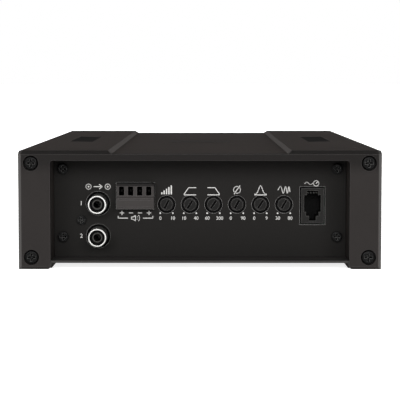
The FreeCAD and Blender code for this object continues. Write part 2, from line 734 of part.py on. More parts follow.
def remote_jack():
    """The jack for a wired level remote: a square mouth with a stepped latch notch below."""
    body = around_jack(0.0)
    front = -PANEL_FACE - JACK_REACH
    y_span = (front, front + JACK_DEPTH)
    steps = [
        (JACK_MOUTH_WIDTH, JACK_MOUTH_Z),
        (JACK_STEP_WIDTH, (JACK_STEP_Z, JACK_MOUTH_Z[0])),
        (JACK_LATCH_WIDTH, (JACK_LATCH_Z, JACK_STEP_Z)),
        (JACK_CONTACT_PITCH * 4, (JACK_MOUTH_Z[1], JACK_MOUTH_Z[1] + JACK_COMB_HEIGHT)),
    ]
    tools = [block((JACK_X - width / 2, JACK_X + width / 2), y_span, z_span) for width, z_span in steps]
    return cut(body, tools)


def remote_contacts():
    """The four contact springs along the top of the jack's mouth."""
    width, thickness = JACK_CONTACT
    back = -PANEL_FACE - JACK_REACH + JACK_DEPTH
    front = back - JACK_DEPTH + JACK_CONTACT_SETBACK
    level = JACK_MOUTH_Z[1] + JACK_COMB_HEIGHT / 2
    contacts = []
    for i in range(4):
        x = JACK_X + JACK_CONTACT_PITCH * (i - 1.5)
        contacts.append(block((x - width / 2, x + width / 2), (front, back),
                              (level - thickness / 2, level + thickness / 2)))
    return contacts


# Boards, power stage and what holds them


def standoff_points():
    """The places of the six standoffs on the bottom plate."""
    return [(x, y) for x in (-STANDOFF_X, STANDOFF_X) for y in (-STANDOFF_Y, 0.0, STANDOFF_Y)]


def standoffs():
    """Round tapped pillars between the bottom plate and the main board."""
    pillars = []
    for x, y in standoff_points():
        pillar = rod(STANDOFF_RADIUS, (x, y, PLATE_TOP), (0, 0, 1), STANDOFF_HEIGHT)
        hole = rod(BOARD_SCREW[2] + THREAD_GAP, (x, y, PLATE_TOP + 0.5), (0, 0, 1), STANDOFF_HEIGHT)
        pillars.append(pillar.cut(hole))
    return pillars


def board_screws():
    """Screws through the main board into the standoffs."""
    level = BOARD_TOP + BOARD_SCREW[1]
    return [placed(screw(BOARD_SCREW), (x, y, level), (0, 0, -1)) for x, y in standoff_points()]


def main_board():
    """The power board, from the input board to the rear blocks."""
    front = -INPUT_BOARD_BACK + BOARD_THICKNESS
    rear = PANEL_BACK - BOARD_THICKNESS
    board = block((-BOARD_HALF_WIDTH, BOARD_HALF_WIDTH), (front, rear), (BOARD_BOTTOM, BOARD_TOP))
    holes = [rod(BOARD_SCREW[2] + SLIP, (x, y, 0), (0, 0, 1), HEIGHT) for x, y in standoff_points()]
    return cut(board, holes)


def input_board():
    """The upright board that carries the sockets and adjusters of the control end."""
    x_span = (-BOARD_HALF_WIDTH, BOARD_HALF_WIDTH)
    return block(x_span, (-INPUT_BOARD_FACE, -INPUT_BOARD_BACK), INPUT_BOARD_Z)


def board_link():
    """The header on the main board that meets the back of the input board."""
    length, depth, height = LINK_SIZE
    return block((-length / 2, length / 2), (-INPUT_BOARD_BACK, -INPUT_BOARD_BACK + depth),
                 (BOARD_TOP, BOARD_TOP + height))


def ring(centre_x, centre_y, outer, inner, z_low, z_high):
    """An upright ring."""
    solid = rod(outer, (centre_x, centre_y, z_low), (0, 0, 1), z_high - z_low)
    return solid.cut(rod(inner, (centre_x, centre_y, z_low), (0, 0, 1), z_high - z_low))


def ring_core(sizes, y):
    """The bare core inside a wound ring."""
    x, outer, inner, height = sizes
    return ring(x, y, outer - WINDING_THICKNESS, inner + WINDING_THICKNESS,
                BOARD_TOP + WINDING_THICKNESS, BOARD_TOP + height - WINDING_THICKNESS)


def ring_winding(sizes, y):
    """The wire wound round a ring, as one closed jacket."""
    x, outer, inner, height = sizes
    jacket = ring(x, y, outer, inner, BOARD_TOP, BOARD_TOP + height)
    rims = [edge for edge in jacket.Edges if edge.Closed and edge.Curve.TypeId == "Part::GeomCircle"]
    return jacket.makeFillet(WINDING_THICKNESS * 0.8, rims).cut(ring_core(sizes, y))


def rounded_top(can, radius):
    """An upright can with its upper rim rounded."""
    top = max(vertex.Point.z for vertex in can.Vertexes)
    rims = [edge for edge in can.Edges if edge.Closed and near(edge.Curve.Center.z, top)]
    return can.makeFillet(radius, rims)


def capacitors():
    """Rail capacitors beside the choke and input capacitors beside the transformer."""
    groups = [
        (CHOKE_Y, 0.0, RAIL_CAPACITOR_HEIGHT),
        (TRANSFORMER_Y, INPUT_CAPACITOR_SHIFT, INPUT_CAPACITOR_HEIGHT),
    ]
    cans = []
    for x in CAPACITORS_X:
        for middle, shift, height in groups:
            for y in (middle - CAPACITOR_SPREAD, middle + CAPACITOR_SPREAD):
                cans.append(rod(CAPACITOR_RADIUS, (x + shift, y, BOARD_TOP), (0, 0, 1), height))
    return [rounded_top(can, CAPACITOR_ROUND) for can in cans]


def control_chips():
    """Flat chips on the back of the input board and on the main board."""
    chips = []
    length, depth, height = INPUT_CHIP
    for x in INPUT_CHIPS_X:
        chips.append(block((x - length / 2, x + length / 2), (-INPUT_BOARD_BACK, -INPUT_BOARD_BACK + depth),
                           (INPUT_CHIP_Z, INPUT_CHIP_Z + height)))
    length, depth, height = BOARD_CHIP
    y_span = (BOARD_CHIP_Y - depth / 2, BOARD_CHIP_Y + depth / 2)
    for x in BOARD_CHIPS_X:
        chips.append(block((x - length / 2, x + length / 2), y_span, (BOARD_TOP, BOARD_TOP + height)))
    return chips


def transistor_rows():
    """The y position of each power transistor along a leg."""
    return [TRANSISTOR_PITCH * (i - (TRANSISTOR_COUNT - 1) / 2) for i in range(TRANSISTOR_COUNT)]


def transistor(y):
    """One power transistor on the right-hand leg, its legs bent inwards and down to the board."""
    back = INNER_X - PAD_THICKNESS
    half_width = TRANSISTOR_WIDTH / 2
    base = RIB_TOP + 2 * TRANSISTOR_LEG
    body_depth, body_height = TRANSISTOR_BODY
    tab_depth, tab_height = TRANSISTOR_TAB
    pieces = [
        block((back - body_depth, back), (y - half_width, y + half_width), (base, base + body_height)),
        block((back - tab_depth, back), (y - half_width, y + half_width), (base, base + tab_height)),
    ]
    foot_x = BOARD_HALF_WIDTH - TRANSISTOR_FOOT_INSET
    bend_x = back - body_depth / 2
    for i in (-1, 0, 1):
        leg_y = y + i * TRANSISTOR_LEG_PITCH
        y_span = (leg_y - TRANSISTOR_LEG / 2, leg_y + TRANSISTOR_LEG / 2)
        pieces.append(block((bend_x, bend_x + TRANSISTOR_LEG), y_span, (base - TRANSISTOR_LEG, base)))
        pieces.append(block((foot_x, bend_x + TRANSISTOR_LEG), y_span,
                            (base - 2 * TRANSISTOR_LEG + SLIP, base - TRANSISTOR_LEG + SLIP)))
        pieces.append(block((foot_x, foot_x + TRANSISTOR_LEG), y_span, (BOARD_TOP, base - TRANSISTOR_LEG)))
    start = (back - tab_depth - PAST, y, base + tab_height - TRANSISTOR_HOLE_DROP)
    hole = rod(TRANSISTOR_HOLE_RADIUS, start, (1, 0, 0), tab_depth + 2 * PAST)
    return cut(fuse(pieces), [hole])


def transistors():
    """Two rows of power transistors, one against each leg."""
    return [side for y in transistor_rows() for side in both_sides(transistor(y))]


def insulating_pads():
    """The thin strips between the transistors and the legs."""
    reach = transistor_rows()[-1] + TRANSISTOR_WIDTH / 2 + PAD_MARGIN
    base = RIB_TOP + TRANSISTOR_LEG
    top = base + TRANSISTOR_TAB[1] + PAD_MARGIN / 2
    return both_sides(block((INNER_X - PAD_THICKNESS, INNER_X), (-reach, reach), (base, top)))


def clamp_bars():
    """The bars that press each row of transistors against its leg."""
    inner = INNER_X - PAD_THICKNESS - TRANSISTOR_BODY[0] - BAR_THICKNESS
    level = clamp_level()
    reach = clamp_screw_points()[-1][1] + BAR_BOSS_RADIUS
    z_span = (level - BAR_HEIGHT / 2, level + BAR_HEIGHT / 2)
    pieces = [block((inner, inner + BAR_THICKNESS), (-reach, reach), z_span)]
    tools = []
    for x, y in clamp_screw_points():
        pieces.append(rod(BAR_BOSS_RADIUS, (inner, y, level), (1, 0, 0), x - inner))
        tools.append(rod(CLAMP_SCREW[2] + SLIP, (inner, y, level), (1, 0, 0), LEG_WIDTH))
    return both_sides(cut(fuse(pieces), tools))


def clamp_screws():
    """The screws that pull the clamp bars to the legs."""
    head_plane = INNER_X - PAD_THICKNESS - TRANSISTOR_BODY[0] - BAR_THICKNESS - CLAMP_SCREW[1]
    screws = []
    for x, y in clamp_screw_points():
        screws += both_sides(placed(screw(CLAMP_SCREW), (head_plane, y, clamp_level()), (1, 0, 0)))
    return screws


# Rear end: panel, terminal blocks, fuses and power light


def block_width(ways):
    """The width of a terminal block with a number of ways."""
    return ways * WELL_WIDTH + (ways + 1) * WELL_RIB


def way_centres(block_x, ways):
    """The middle of each way of a terminal block."""
    return [block_x + WELL_RIB + WELL_WIDTH / 2 + i * (WELL_WIDTH + WELL_RIB) for i in range(ways)]


def terminal_outline(block_x, ways, gap):
    """The outline of a terminal block, grown sideways and upwards by a gap."""
    x_span = (block_x - gap, block_x + block_width(ways) + gap)
    return block(x_span, (BLOCK_FRONT, BLOCK_REAR), (BOARD_TOP - gap, BLOCK_TOP + gap))


def terminal_block(block_x, ways):
    """A moulded block with one well for each cable lug, open to the rear and below."""
    tools = []
    for x in way_centres(block_x, ways):
        x_span = (x - WELL_WIDTH / 2, x + WELL_WIDTH / 2)
        tools.append(block(x_span, (WELL_FLOOR, BLOCK_REAR), (BOARD_TOP, BLOCK_TOP - WELL_RIB)))
        tools.append(rod(TERMINAL_SCREW[2] + THREAD_GAP, (x, WELL_FLOOR, TERMINAL_Z), (0, -1, 0),
                         TERMINAL_SCREW[3]))
    return cut(terminal_outline(block_x, ways, 0.0), tools)


def all_ways():
    """The middle of each way of both terminal blocks."""
    return way_centres(POWER_BLOCK_X, POWER_WAYS) + way_centres(SPEAKER_BLOCK_X, SPEAKER_WAYS)


def contact_plates():
    """The metal plate on the floor of each well."""
    plates = []
    for x in all_ways():
        x_span = (x - WELL_WIDTH / 2 + SOCKET_GAP, x + WELL_WIDTH / 2 - SOCKET_GAP)
        z_span = (BOARD_TOP + SOCKET_GAP * 2, BLOCK_TOP - WELL_RIB - SOCKET_GAP)
        plate = block(x_span, (WELL_FLOOR, WELL_FLOOR + CONTACT_PLATE_THICKNESS), z_span)
        hole = rod(TERMINAL_SCREW[2] + SOCKET_GAP, (x, WELL_FLOOR - PAST, TERMINAL_Z), (0, 1, 0), WELL_DEPTH)
        plates.append(plate.cut(hole))
    return plates


def terminal_screw(x):
    """One clamp screw of a terminal block, with a flange under its head."""
    head_plane = WELL_FLOOR + CONTACT_PLATE_THICKNESS + SLIP + TERMINAL_SCREW[1]
    return placed(screw(TERMINAL_SCREW, TERMINAL_SCREW[0] + 0.7), (x, head_plane, TERMINAL_Z), (0, -1, 0))


def fuse_centres():
    """The middle of each fuse, from left to right."""
    middle = sum(FUSE_HOLDER_X) / 2
    return [middle - FUSE_PITCH / 2, middle + FUSE_PITCH / 2]


def fuse_holder_outline(gap):
    """The outline of the fuse holder, grown by a gap."""
    x_span = (FUSE_HOLDER_X[0] - gap, FUSE_HOLDER_X[1] + gap)
    return block(x_span, (BLOCK_FRONT, FUSE_HOLDER_REAR), (BOARD_TOP - gap, FUSE_HOLDER_TOP + gap))


def fuse_blade_levels():
    """The height of the middle of each of a fuse's two blades."""
    offset = FUSE_BODY[2] / 2 - FUSE_BLADE[2] / 2 - FUSE_EDGE
    return (FUSE_Z - offset, FUSE_Z + offset)


def fuse_holder():
    """The moulded holder with a pocket for each fuse and a slot for each blade."""
    tools = []
    blade_span = (FUSE_FLOOR - FUSE_BLADE[1] - PAST, FUSE_FLOOR)
    for x in fuse_centres():
        half_width = FUSE_BODY[0] / 2 + SOCKET_GAP
        half_height = FUSE_BODY[2] / 2 + SOCKET_GAP
        tools.append(block((x - half_width, x + half_width), (FUSE_FLOOR, FUSE_HOLDER_REAR),
                           (FUSE_Z - half_height, FUSE_Z + half_height)))
        for z in fuse_blade_levels():
            half_width = FUSE_BLADE[0] / 2 + SLIP
            half_height = FUSE_BLADE[2] / 2 + SLIP
            tools.append(block((x - half_width, x + half_width), blade_span,
                               (z - half_height, z + half_height)))
    return cut(fuse_holder_outline(0.0), tools)


def blade_fuse(x):
    """One blade fuse: a flat body with a wider cap and two blades."""
    thickness, length, height = FUSE_BODY
    floor = FUSE_FLOOR + SLIP
    cap_start = floor + length * FUSE_CAP_SHARE
    half_thickness = thickness / 2
    half_height = height / 2
    pieces = [
        block((x - half_thickness, x + half_thickness), (cap_start, floor + length),
              (FUSE_Z - half_height, FUSE_Z + half_height)),
        block((x - half_thickness + FUSE_WAIST, x + half_thickness - FUSE_WAIST), (floor, cap_start),
              (FUSE_Z - half_height + FUSE_EDGE, FUSE_Z + half_height - FUSE_EDGE)),
    ]
    for z in fuse_blade_levels():
        pieces.append(block((x - FUSE_BLADE[0] / 2, x + FUSE_BLADE[0] / 2), (floor - FUSE_BLADE[1], floor),
                            (z - FUSE_BLADE[2] / 2, z + FUSE_BLADE[2] / 2)))
    return fuse(pieces)


def rear_panel():
    """The recessed rear panel with its block openings and the hole for the light."""
    panel = blank_panel(PANEL_BACK, PANEL_FACE)
    tools = [terminal_outline(POWER_BLOCK_X, POWER_WAYS, SOCKET_GAP),
             terminal_outline(SPEAKER_BLOCK_X, SPEAKER_WAYS, SOCKET_GAP),
             fuse_holder_outline(SOCKET_GAP),
             panel_hole(LIGHT_RADIUS + THREAD_GAP, (LIGHT_X, PANEL_BACK - PAST, LIGHT_Z))]
    tools += [panel_hole(PANEL_SCREW[2] + SLIP, point) for point in panel_screw_points(PANEL_BACK - PAST)]
    return cut(panel, tools)


def power_light():
    """The domed power light behind the rear panel, with two leads down to the main board."""
    foot = PANEL_BACK - LIGHT_REACH
    length = LIGHT_REACH + PANEL_THICKNESS + LIGHT_RADIUS
    barrel = rod(LIGHT_RADIUS, (LIGHT_X, foot, LIGHT_Z), (0, 1, 0), length)
    rims = [edge for edge in barrel.Edges if edge.Closed and edge.Curve.Center.y > PANEL_FACE]
    barrel = barrel.makeFillet(LIGHT_RADIUS * 0.9, rims)
    flange = rod(LIGHT_RADIUS + LIGHT_FLANGE, (LIGHT_X, foot, LIGHT_Z), (0, 1, 0), LIGHT_REACH)
    pieces = [barrel, flange]
    half_lead = LIGHT_LEAD / 2
    back = PANEL_BACK - LIGHT_LEAD_BACK
    for x in (LIGHT_X - LIGHT_LEAD_SPREAD, LIGHT_X + LIGHT_LEAD_SPREAD):
        x_span = (x - half_lead, x + half_lead)
        pieces.append(block(x_span, (back, foot), (LIGHT_Z - half_lead, LIGHT_Z + half_lead)))
        pieces.append(block(x_span, (back, back + LIGHT_LEAD), (BOARD_TOP, LIGHT_Z + half_lead)))
    return fuse(pieces)


def single_pieces():
    """Every piece or group of like pieces that isn't numbered."""
    front = front_bezel()
    return {
        "shell": [shell()],
        "front_bezel": [front],
        "rear_bezel": [other_end(front)],
        "bezel_screws": bezel_screws(),
        "bottom_plate": [bottom_plate()],
        "bottom_screws": bottom_screws(),
        "control_panel": [control_panel()],
        "rear_panel": [rear_panel()],
        "panel_screws": panel_screws(),
        "inlays": inlays(),
        "badge_plate": badge_plate(),
        "rca_block": [rca_block()],
        "rca_shells": rca_shells(),
        "rca_insulators": rca_insulators(),
        "rca_contacts": rca_contacts(),
        "rca_block_screw": rca_block_screw(),
        "level_socket": [level_socket()],
        "level_pins": level_pins(),
        "remote_jack": [remote_jack()],
        "remote_contacts": remote_contacts(),
        "main_board": [main_board()],
        "input_board": [input_board()],
        "board_link": [board_link()],
        "standoffs": standoffs(),
        "board_screws": board_screws(),
        "transformer_core": [ring_core(TRANSFORMER, TRANSFORMER_Y)],
        "transformer_winding": [ring_winding(TRANSFORMER, TRANSFORMER_Y)],
        "choke_core": [ring_core(CHOKE, CHOKE_Y)],
        "choke_winding": [ring_winding(CHOKE, CHOKE_Y)],
        "capacitors": capacitors(),
        "control_chips": control_chips(),
        "transistors": transistors(),
        "insulating_pads": insulating_pads(),
        "clamp_bars": clamp_bars(),
        "clamp_screws": clamp_screws(),
        "power_block": [terminal_block(POWER_BLOCK_X, POWER_WAYS)],
        "speaker_block": [terminal_block(SPEAKER_BLOCK_X, SPEAKER_WAYS)],
        "contact_plates": contact_plates(),
        "fuse_holder": [fuse_holder()],
        "power_light": [power_light()],
    }


def numbered_pieces():
    """The pieces that come in numbered sets, because each one moves by itself."""
    pieces = {}
    for i, (x, lean) in enumerate(zip(pot_centres(), POT_SLOT_LEANS), 1):
        pieces[f"pot_body_{i}"] = [pot_body(x)]
        pieces[f"pot_shaft_{i}"] = [pot_shaft(x, lean)]
    for i, x in enumerate(all_ways(), 1):
        pieces[f"terminal_screw_{i}"] = [terminal_screw(x)]
    for i, x in enumerate(fuse_centres(), 1):
        pieces[f"fuse_{i}"] = [blade_fuse(x)]
    return pieces


os.makedirs("parts", exist_ok=True)
for node, shapes in {**single_pieces(), **numbered_pieces()}.items():
    save(node, shapes)
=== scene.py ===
"""Finishes, printed marks, floor, light and camera for a compact car amplifier.

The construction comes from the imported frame. This file dresses every part of it, prints the
generic marks on the two end panels, and sets the part out in a pale studio.
"""

from __future__ import annotations

import logging
import math
from dataclasses import dataclass, field
from enum import Enum
from typing import Any, Callable, Iterable, Sequence

import bmesh
import bpy
from mathutils import Matrix, Vector

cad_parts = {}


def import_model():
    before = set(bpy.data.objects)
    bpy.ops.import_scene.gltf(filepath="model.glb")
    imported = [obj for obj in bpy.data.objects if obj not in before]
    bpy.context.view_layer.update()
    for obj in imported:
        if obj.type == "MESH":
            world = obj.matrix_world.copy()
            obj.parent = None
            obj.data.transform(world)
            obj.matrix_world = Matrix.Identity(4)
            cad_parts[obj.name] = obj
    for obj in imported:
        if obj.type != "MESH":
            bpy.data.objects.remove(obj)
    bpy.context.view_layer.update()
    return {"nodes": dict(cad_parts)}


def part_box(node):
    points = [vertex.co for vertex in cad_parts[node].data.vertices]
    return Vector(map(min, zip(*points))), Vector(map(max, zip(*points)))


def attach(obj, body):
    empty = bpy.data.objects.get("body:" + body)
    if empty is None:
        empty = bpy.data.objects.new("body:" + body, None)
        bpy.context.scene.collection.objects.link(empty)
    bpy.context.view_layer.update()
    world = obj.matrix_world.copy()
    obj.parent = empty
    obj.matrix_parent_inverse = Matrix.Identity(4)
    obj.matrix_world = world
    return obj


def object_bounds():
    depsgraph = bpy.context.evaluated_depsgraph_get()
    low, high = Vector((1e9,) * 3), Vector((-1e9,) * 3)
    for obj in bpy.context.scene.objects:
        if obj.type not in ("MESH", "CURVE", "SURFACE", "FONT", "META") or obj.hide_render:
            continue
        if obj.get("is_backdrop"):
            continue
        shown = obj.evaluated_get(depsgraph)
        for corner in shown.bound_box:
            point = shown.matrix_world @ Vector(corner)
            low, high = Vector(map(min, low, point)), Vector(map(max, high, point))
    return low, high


LOG = logging.getLogger("amplifier")
MM = 0.001
CHASSIS = "chassis"
# The Z of a face's direction: past LEVEL_RISE it counts as level, up to UPRIGHT_RISE as upright.
LEVEL_RISE = 0.92
UPRIGHT_RISE = 0.4
# How well the softened and the flat direction agree where an edge carries neither worn edges nor
# painted edge highlight.
UNMARKED_EDGE_MATCH = 0.995
BEVEL_SAMPLES = 4
CLEAR_INDEX = 1.5
Point = tuple[float, float]
Sketch = tuple[Point, ...]
Colour = tuple[float, float, float]


class Wire:
    """A number socket that can be used in Python arithmetic."""

    def __init__(self, graph: "Graph", socket: bpy.types.NodeSocket) -> None:
        """Keep the graph that the socket belongs to.

        Args:
            graph: The material's node tree.
            socket: The socket that gives the number.
        """
        self.graph = graph
        self.socket = socket

    def _maths(self, operation: str, first: Any, second: Any = None,
               clamp: bool = False) -> "Wire":
        """Add one Math node.

        Args:
            operation: The node's operation.
            first: The first value or wire.
            second: The second value or wire, if the operation takes one.
            clamp: Whether the result stays between 0 and 1.

        Returns:
            The node's result.
        """
        inputs = {0: first} if second is None else {0: first, 1: second}
        settings = {"operation": operation, "use_clamp": clamp}
        node = self.graph.node("ShaderNodeMath", settings, inputs)
        return Wire(self.graph, node.outputs[0])

    def __add__(self, other: Any) -> "Wire":
        """Add a value or another wire."""
        return self._maths("ADD", self, other)

    __radd__ = __add__

    def __sub__(self, other: Any) -> "Wire":
        """Take a value or another wire away."""
        return self._maths("SUBTRACT", self, other)

    def __rsub__(self, other: Any) -> "Wire":
        """Take this wire away from a value."""
        return self._maths("SUBTRACT", other, self)

    def __mul__(self, other: Any) -> "Wire":
        """Multiply by a value or another wire."""
        return self._maths("MULTIPLY", self, other)

    __rmul__ = __mul__

    def power(self, exponent: float) -> "Wire":
        """Raise to a power."""
        return self._maths("POWER", self, exponent)

    def above(self, threshold: float) -> "Wire":
        """One where the wire is above a threshold, and nought elsewhere."""
        return self._maths("GREATER_THAN", self, threshold)

    def size(self) -> "Wire":
        """The value without its sign."""
        return self._maths("ABSOLUTE", self)

    def clamped(self) -> "Wire":
        """The same value, kept between 0 and 1."""
        return self._maths("ADD", self, 0.0, clamp=True)


class Graph:
    """A material's node tree, with one method that adds any node."""

    def __init__(self, name: str) -> None:
        """Start an empty material.

        Args:
            name: The material's name.
        """
        self.material = bpy.data.materials.new(name)
        self.material.use_nodes = True
        self.tree = self.material.node_tree
        self.tree.nodes.clear()

    def node(self, kind: str, settings: dict[str, Any] | None = None,
             inputs: dict[Any, Any] | None = None) -> bpy.types.Node:
        """Add a node.

        Args:
            kind: The node's type.
            settings: Its properties, set first.
            inputs: Values, sockets or wires by the input's name or number.

        Returns:
            The new node.
        """
        made = self.tree.nodes.new(kind)
        for name, value in (settings or {}).items():
            setattr(made, name, value)
        for key, value in (inputs or {}).items():
            source = value.socket if isinstance(value, Wire) else value
            if isinstance(source, bpy.types.NodeSocket):
                self.tree.links.new(source, made.inputs[key])
            else:
                made.inputs[key].default_value = source
        return made

    def place(self) -> bpy.types.NodeSocket:
        """The point on the surface, in the object's own metres."""
        return self.node("ShaderNodeTexCoord").outputs["Object"]

    def stretched(self, scale: tuple[float, float, float]) -> bpy.types.NodeSocket:
        """The point on the surface, scaled by a factor along each axis."""
        inputs = {"Vector": self.place(), "Scale": scale}
        return self.node("ShaderNodeMapping", {}, inputs).outputs[0]

    def noise(self, scale: float, detail: float = 2.0, roughness: float = 0.5,
              place: bpy.types.NodeSocket | None = None) -> Wire:
        """Soft noise between 0 and 1.

        Args:
            scale: Features per metre.
            detail: Octaves.
            roughness: How strong the finer octaves are.
            place: Where to read it, or the object's own point.

        Returns:
            The noise's value.
        """
        inputs = {"Vector": place or self.place(), "Scale": scale, "Detail": detail,
                  "Roughness": roughness}
        return Wire(self, self.node("ShaderNodeTexNoise", {}, inputs).outputs["Fac"])

    def cells(self, scale: float) -> Wire:
        """The distance to the nearest of many scattered points."""
        inputs = {"Vector": self.place(), "Scale": scale}
        return Wire(self, self.node("ShaderNodeTexVoronoi", {}, inputs).outputs["Distance"])

    def blend(self, factor: Wire, first: Colour | bpy.types.NodeSocket,
              second: Colour) -> bpy.types.NodeSocket:
        """Go from one colour to another.

        Args:
            factor: 0 gives the first colour and 1 the second.
            first: The first colour, or a socket that gives it.
            second: The second colour.

        Returns:
            The blended colour.
        """
        start = (*first, 1.0) if isinstance(first, tuple) else first
        node = self.node("ShaderNodeMix", {"data_type": "RGBA"},
                         {0: factor, 6: start, 7: (*second, 1.0)})
        return node.outputs[2]

    def softened_edges(self, radius: float) -> bpy.types.NodeSocket:
        """The surface's direction, rounded over at sharp edges as a real edge is."""
        settings = {"samples": BEVEL_SAMPLES}
        return self.node("ShaderNodeBevel", settings, {"Radius": radius}).outputs[0]

    def edge_wear_and_highlight(self, radius: float, gain: float) -> Wire:
        """One along sharp edges, and nought elsewhere: worn edges, partly painted edge highlight.

        Args:
            radius: How far the mask reaches from an edge, in metres.
            gain: How quickly it becomes full.

        Returns:
            The share of worn edges and painted edge highlight.
        """
        match = self.node("ShaderNodeVectorMath", {"operation": "DOT_PRODUCT"},
                          {0: self.softened_edges(radius), 1: self.facing()})
        return ((UNMARKED_EDGE_MATCH - Wire(self, match.outputs["Value"])) * gain).clamped()

    def facing(self) -> bpy.types.NodeSocket:
        """The way that the flat face itself looks."""
        return self.node("ShaderNodeNewGeometry").outputs["True Normal"]

    def part_of(self, vector: bpy.types.NodeSocket, axis: str) -> Wire:
        """One axis's share of a vector."""
        return Wire(self, self.node("ShaderNodeSeparateXYZ", {}, {"Vector": vector}).outputs[axis])

    def sloping(self) -> Wire:
        """One on faces that slope between level and upright, and nought on the rest."""
        rise = self.part_of(self.facing(), "Z")
        return rise.above(UPRIGHT_RISE) - rise.above(LEVEL_RISE)

    def along(self, axis: str) -> Wire:
        """How far the point lies along one of the object's own axes, in metres."""
        return self.part_of(self.place(), axis)

    def inside(self, node: str, border: float) -> Wire:
        """One over the middle of a node's front and nought near its outline.

        Args:
            node: The node's name.
            border: How far the outline's strip reaches inwards, in metres.

        Returns:
            The share.
        """
        low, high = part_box(node)
        share: Any = 1.0
        for axis, least, most in (("X", low[0], high[0]), ("Z", low[2], high[2])):
            offset = (self.along(axis) - (least + most) / 2).size()
            share = ((most - least) / 2 - border - offset).above(0.0) * share
        return share

    def bump(self, height: Wire, depth: float, strength: float,
             edge: float) -> bpy.types.NodeSocket:
        """Turn a height into a surface direction.

        Args:
            height: The height, between 0 and 1.
            depth: How deep a height of 1 is, in metres.
            strength: How much of it shows.
            edge: The radius of the softened edges, in metres, or 0 for none.

        Returns:
            The direction, for a shader's Normal.
        """
        inputs: dict[Any, Any] = {"Height": height, "Distance": depth, "Strength": strength}
        if edge:
            inputs["Normal"] = self.softened_edges(edge)
        return self.node("ShaderNodeBump", {}, inputs).outputs[0]

    def surface(self, inputs: dict[str, Any]) -> bpy.types.Material:
        """Finish the material with one Principled shader.

        Args:
            inputs: The shader's inputs by name.

        Returns:
            The finished material.
        """
        shader = self.node("ShaderNodeBsdfPrincipled", {}, inputs)
        self.node("ShaderNodeOutputMaterial", {}, {"Surface": shader.outputs[0]})
        return self.material


@dataclass(frozen=True)
class Coat:
    """A fine powder coat or satin paint on metal: grainy, with faint cloudiness and dust.

    With a lighter edge colour, sharp edges turn lighter: partly worn edges, partly painted
    highlight. It can also cover sloping faces and a strip along the sides of the rim node, both
    painted highlight, and it can be kept off the outline of the calm node. Above the painted shade
    height, in metres, the coat loses its lighter colour: painted shade along its top.
    """

    name: str
    colour: Colour
    light_colour: Colour
    roughness: float
    grain: float = 2600.0
    grain_depth: float = 0.00004
    strength: float = 0.35
    edge: float = 0.0003
    specular: float = 0.5
    clouds: float = 28.0
    cloud_share: float = 0.6
    dust_size: float = 0.7
    dust_level: float = 0.72
    dust_share: float = 0.25
    cloud_gloss: float = 0.16
    grain_gloss: float = 0.1
    wear_and_highlight_colour: Colour | None = None
    wear_and_highlight_reach: float = 0.00035
    wear_and_highlight_gain: float = 30.0
    edge_patch_floor: float = 0.8
    edge_patch_spread: float = 0.4
    highlight_strip_node: str = ""
    highlight_strip_width: float = 0.0013
    calm_node: str = ""
    calm_border: float = 0.0025
    slopes_highlit: bool = False
    painted_shade_above: float = 0.0
    painted_shade_reach: float = 0.005

    def build(self) -> bpy.types.Material:
        """Make the material."""
        graph = Graph(self.name)
        grain = graph.noise(self.grain, detail=3.0, roughness=0.6)
        cloud = graph.noise(self.clouds, detail=4.0, roughness=0.55)
        dust = graph.noise(self.grain * self.dust_size, detail=1.0).above(self.dust_level)
        shade = (cloud * self.cloud_share + grain * (1.0 - self.cloud_share)
                 + dust * self.dust_share).clamped()
        # Painted shade: above this height the coat loses its lighter colour, darker towards the
        # top.
        if self.painted_shade_above:
            rise = (graph.along("Z") - self.painted_shade_above) * (1.0 / self.painted_shade_reach)
            shade = shade * (1.0 - rise.clamped())
        rough = (cloud - 0.5) * self.cloud_gloss + (grain - 0.5) * self.grain_gloss + self.roughness
        colour = graph.blend(shade, self.colour, self.light_colour)
        # Lighter edges from here on: partly worn edges, partly painted highlight.
        if self.wear_and_highlight_colour:
            patches = cloud * self.edge_patch_spread + self.edge_patch_floor
            wear_and_highlight = graph.edge_wear_and_highlight(self.wear_and_highlight_reach, self.wear_and_highlight_gain) * patches
            if self.calm_node:
                wear_and_highlight = wear_and_highlight * graph.inside(self.calm_node, self.calm_border)
            # Painted highlight: sloping faces take the lighter edge colour all over.
            if self.slopes_highlit:
                wear_and_highlight = wear_and_highlight + graph.sloping()
            # Painted highlight: a strip along the outer sides of the rim node takes the lighter
            # edge colour.
            if self.highlight_strip_node:
                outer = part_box(self.highlight_strip_node)[1][0] - self.highlight_strip_width
                wear_and_highlight = wear_and_highlight + (graph.along("X").size() - outer).above(0.0)
            colour = graph.blend(wear_and_highlight.clamped(), colour, self.wear_and_highlight_colour)
        return graph.surface({
            "Base Color": colour,
            "Roughness": rough.clamped(),
            "Specular IOR Level": self.specular,
            "Normal": graph.bump(grain, self.grain_depth, self.strength, self.edge),
        })


@dataclass(frozen=True)
class Moulding:
    """A moulded plastic: a spark-eroded grain and a little uneven gloss."""

    name: str
    colour: Colour
    light_colour: Colour
    roughness: float = 0.45
    grain: float = 3800.0
    grain_depth: float = 0.00002
    grain_share: float = 0.3
    clouds: float = 140.0
    gloss_spread: float = 0.2
    strength: float = 0.3
    edge: float = 0.00012
    specular: float = 0.3

    def build(self) -> bpy.types.Material:
        """Make the material."""
        graph = Graph(self.name)
        grain = graph.cells(self.grain)
        cloud = graph.noise(self.clouds, detail=3.0)
        mottle = (cloud * (1.0 - self.grain_share) + grain * self.grain_share).clamped()
        return graph.surface({
            "Base Color": graph.blend(mottle, self.colour, self.light_colour),
            "Roughness": ((cloud - 0.5) * self.gloss_spread + self.roughness).clamped(),
            "Specular IOR Level": self.specular,
            "Normal": graph.bump(grain, self.grain_depth, self.strength, self.edge),
        })


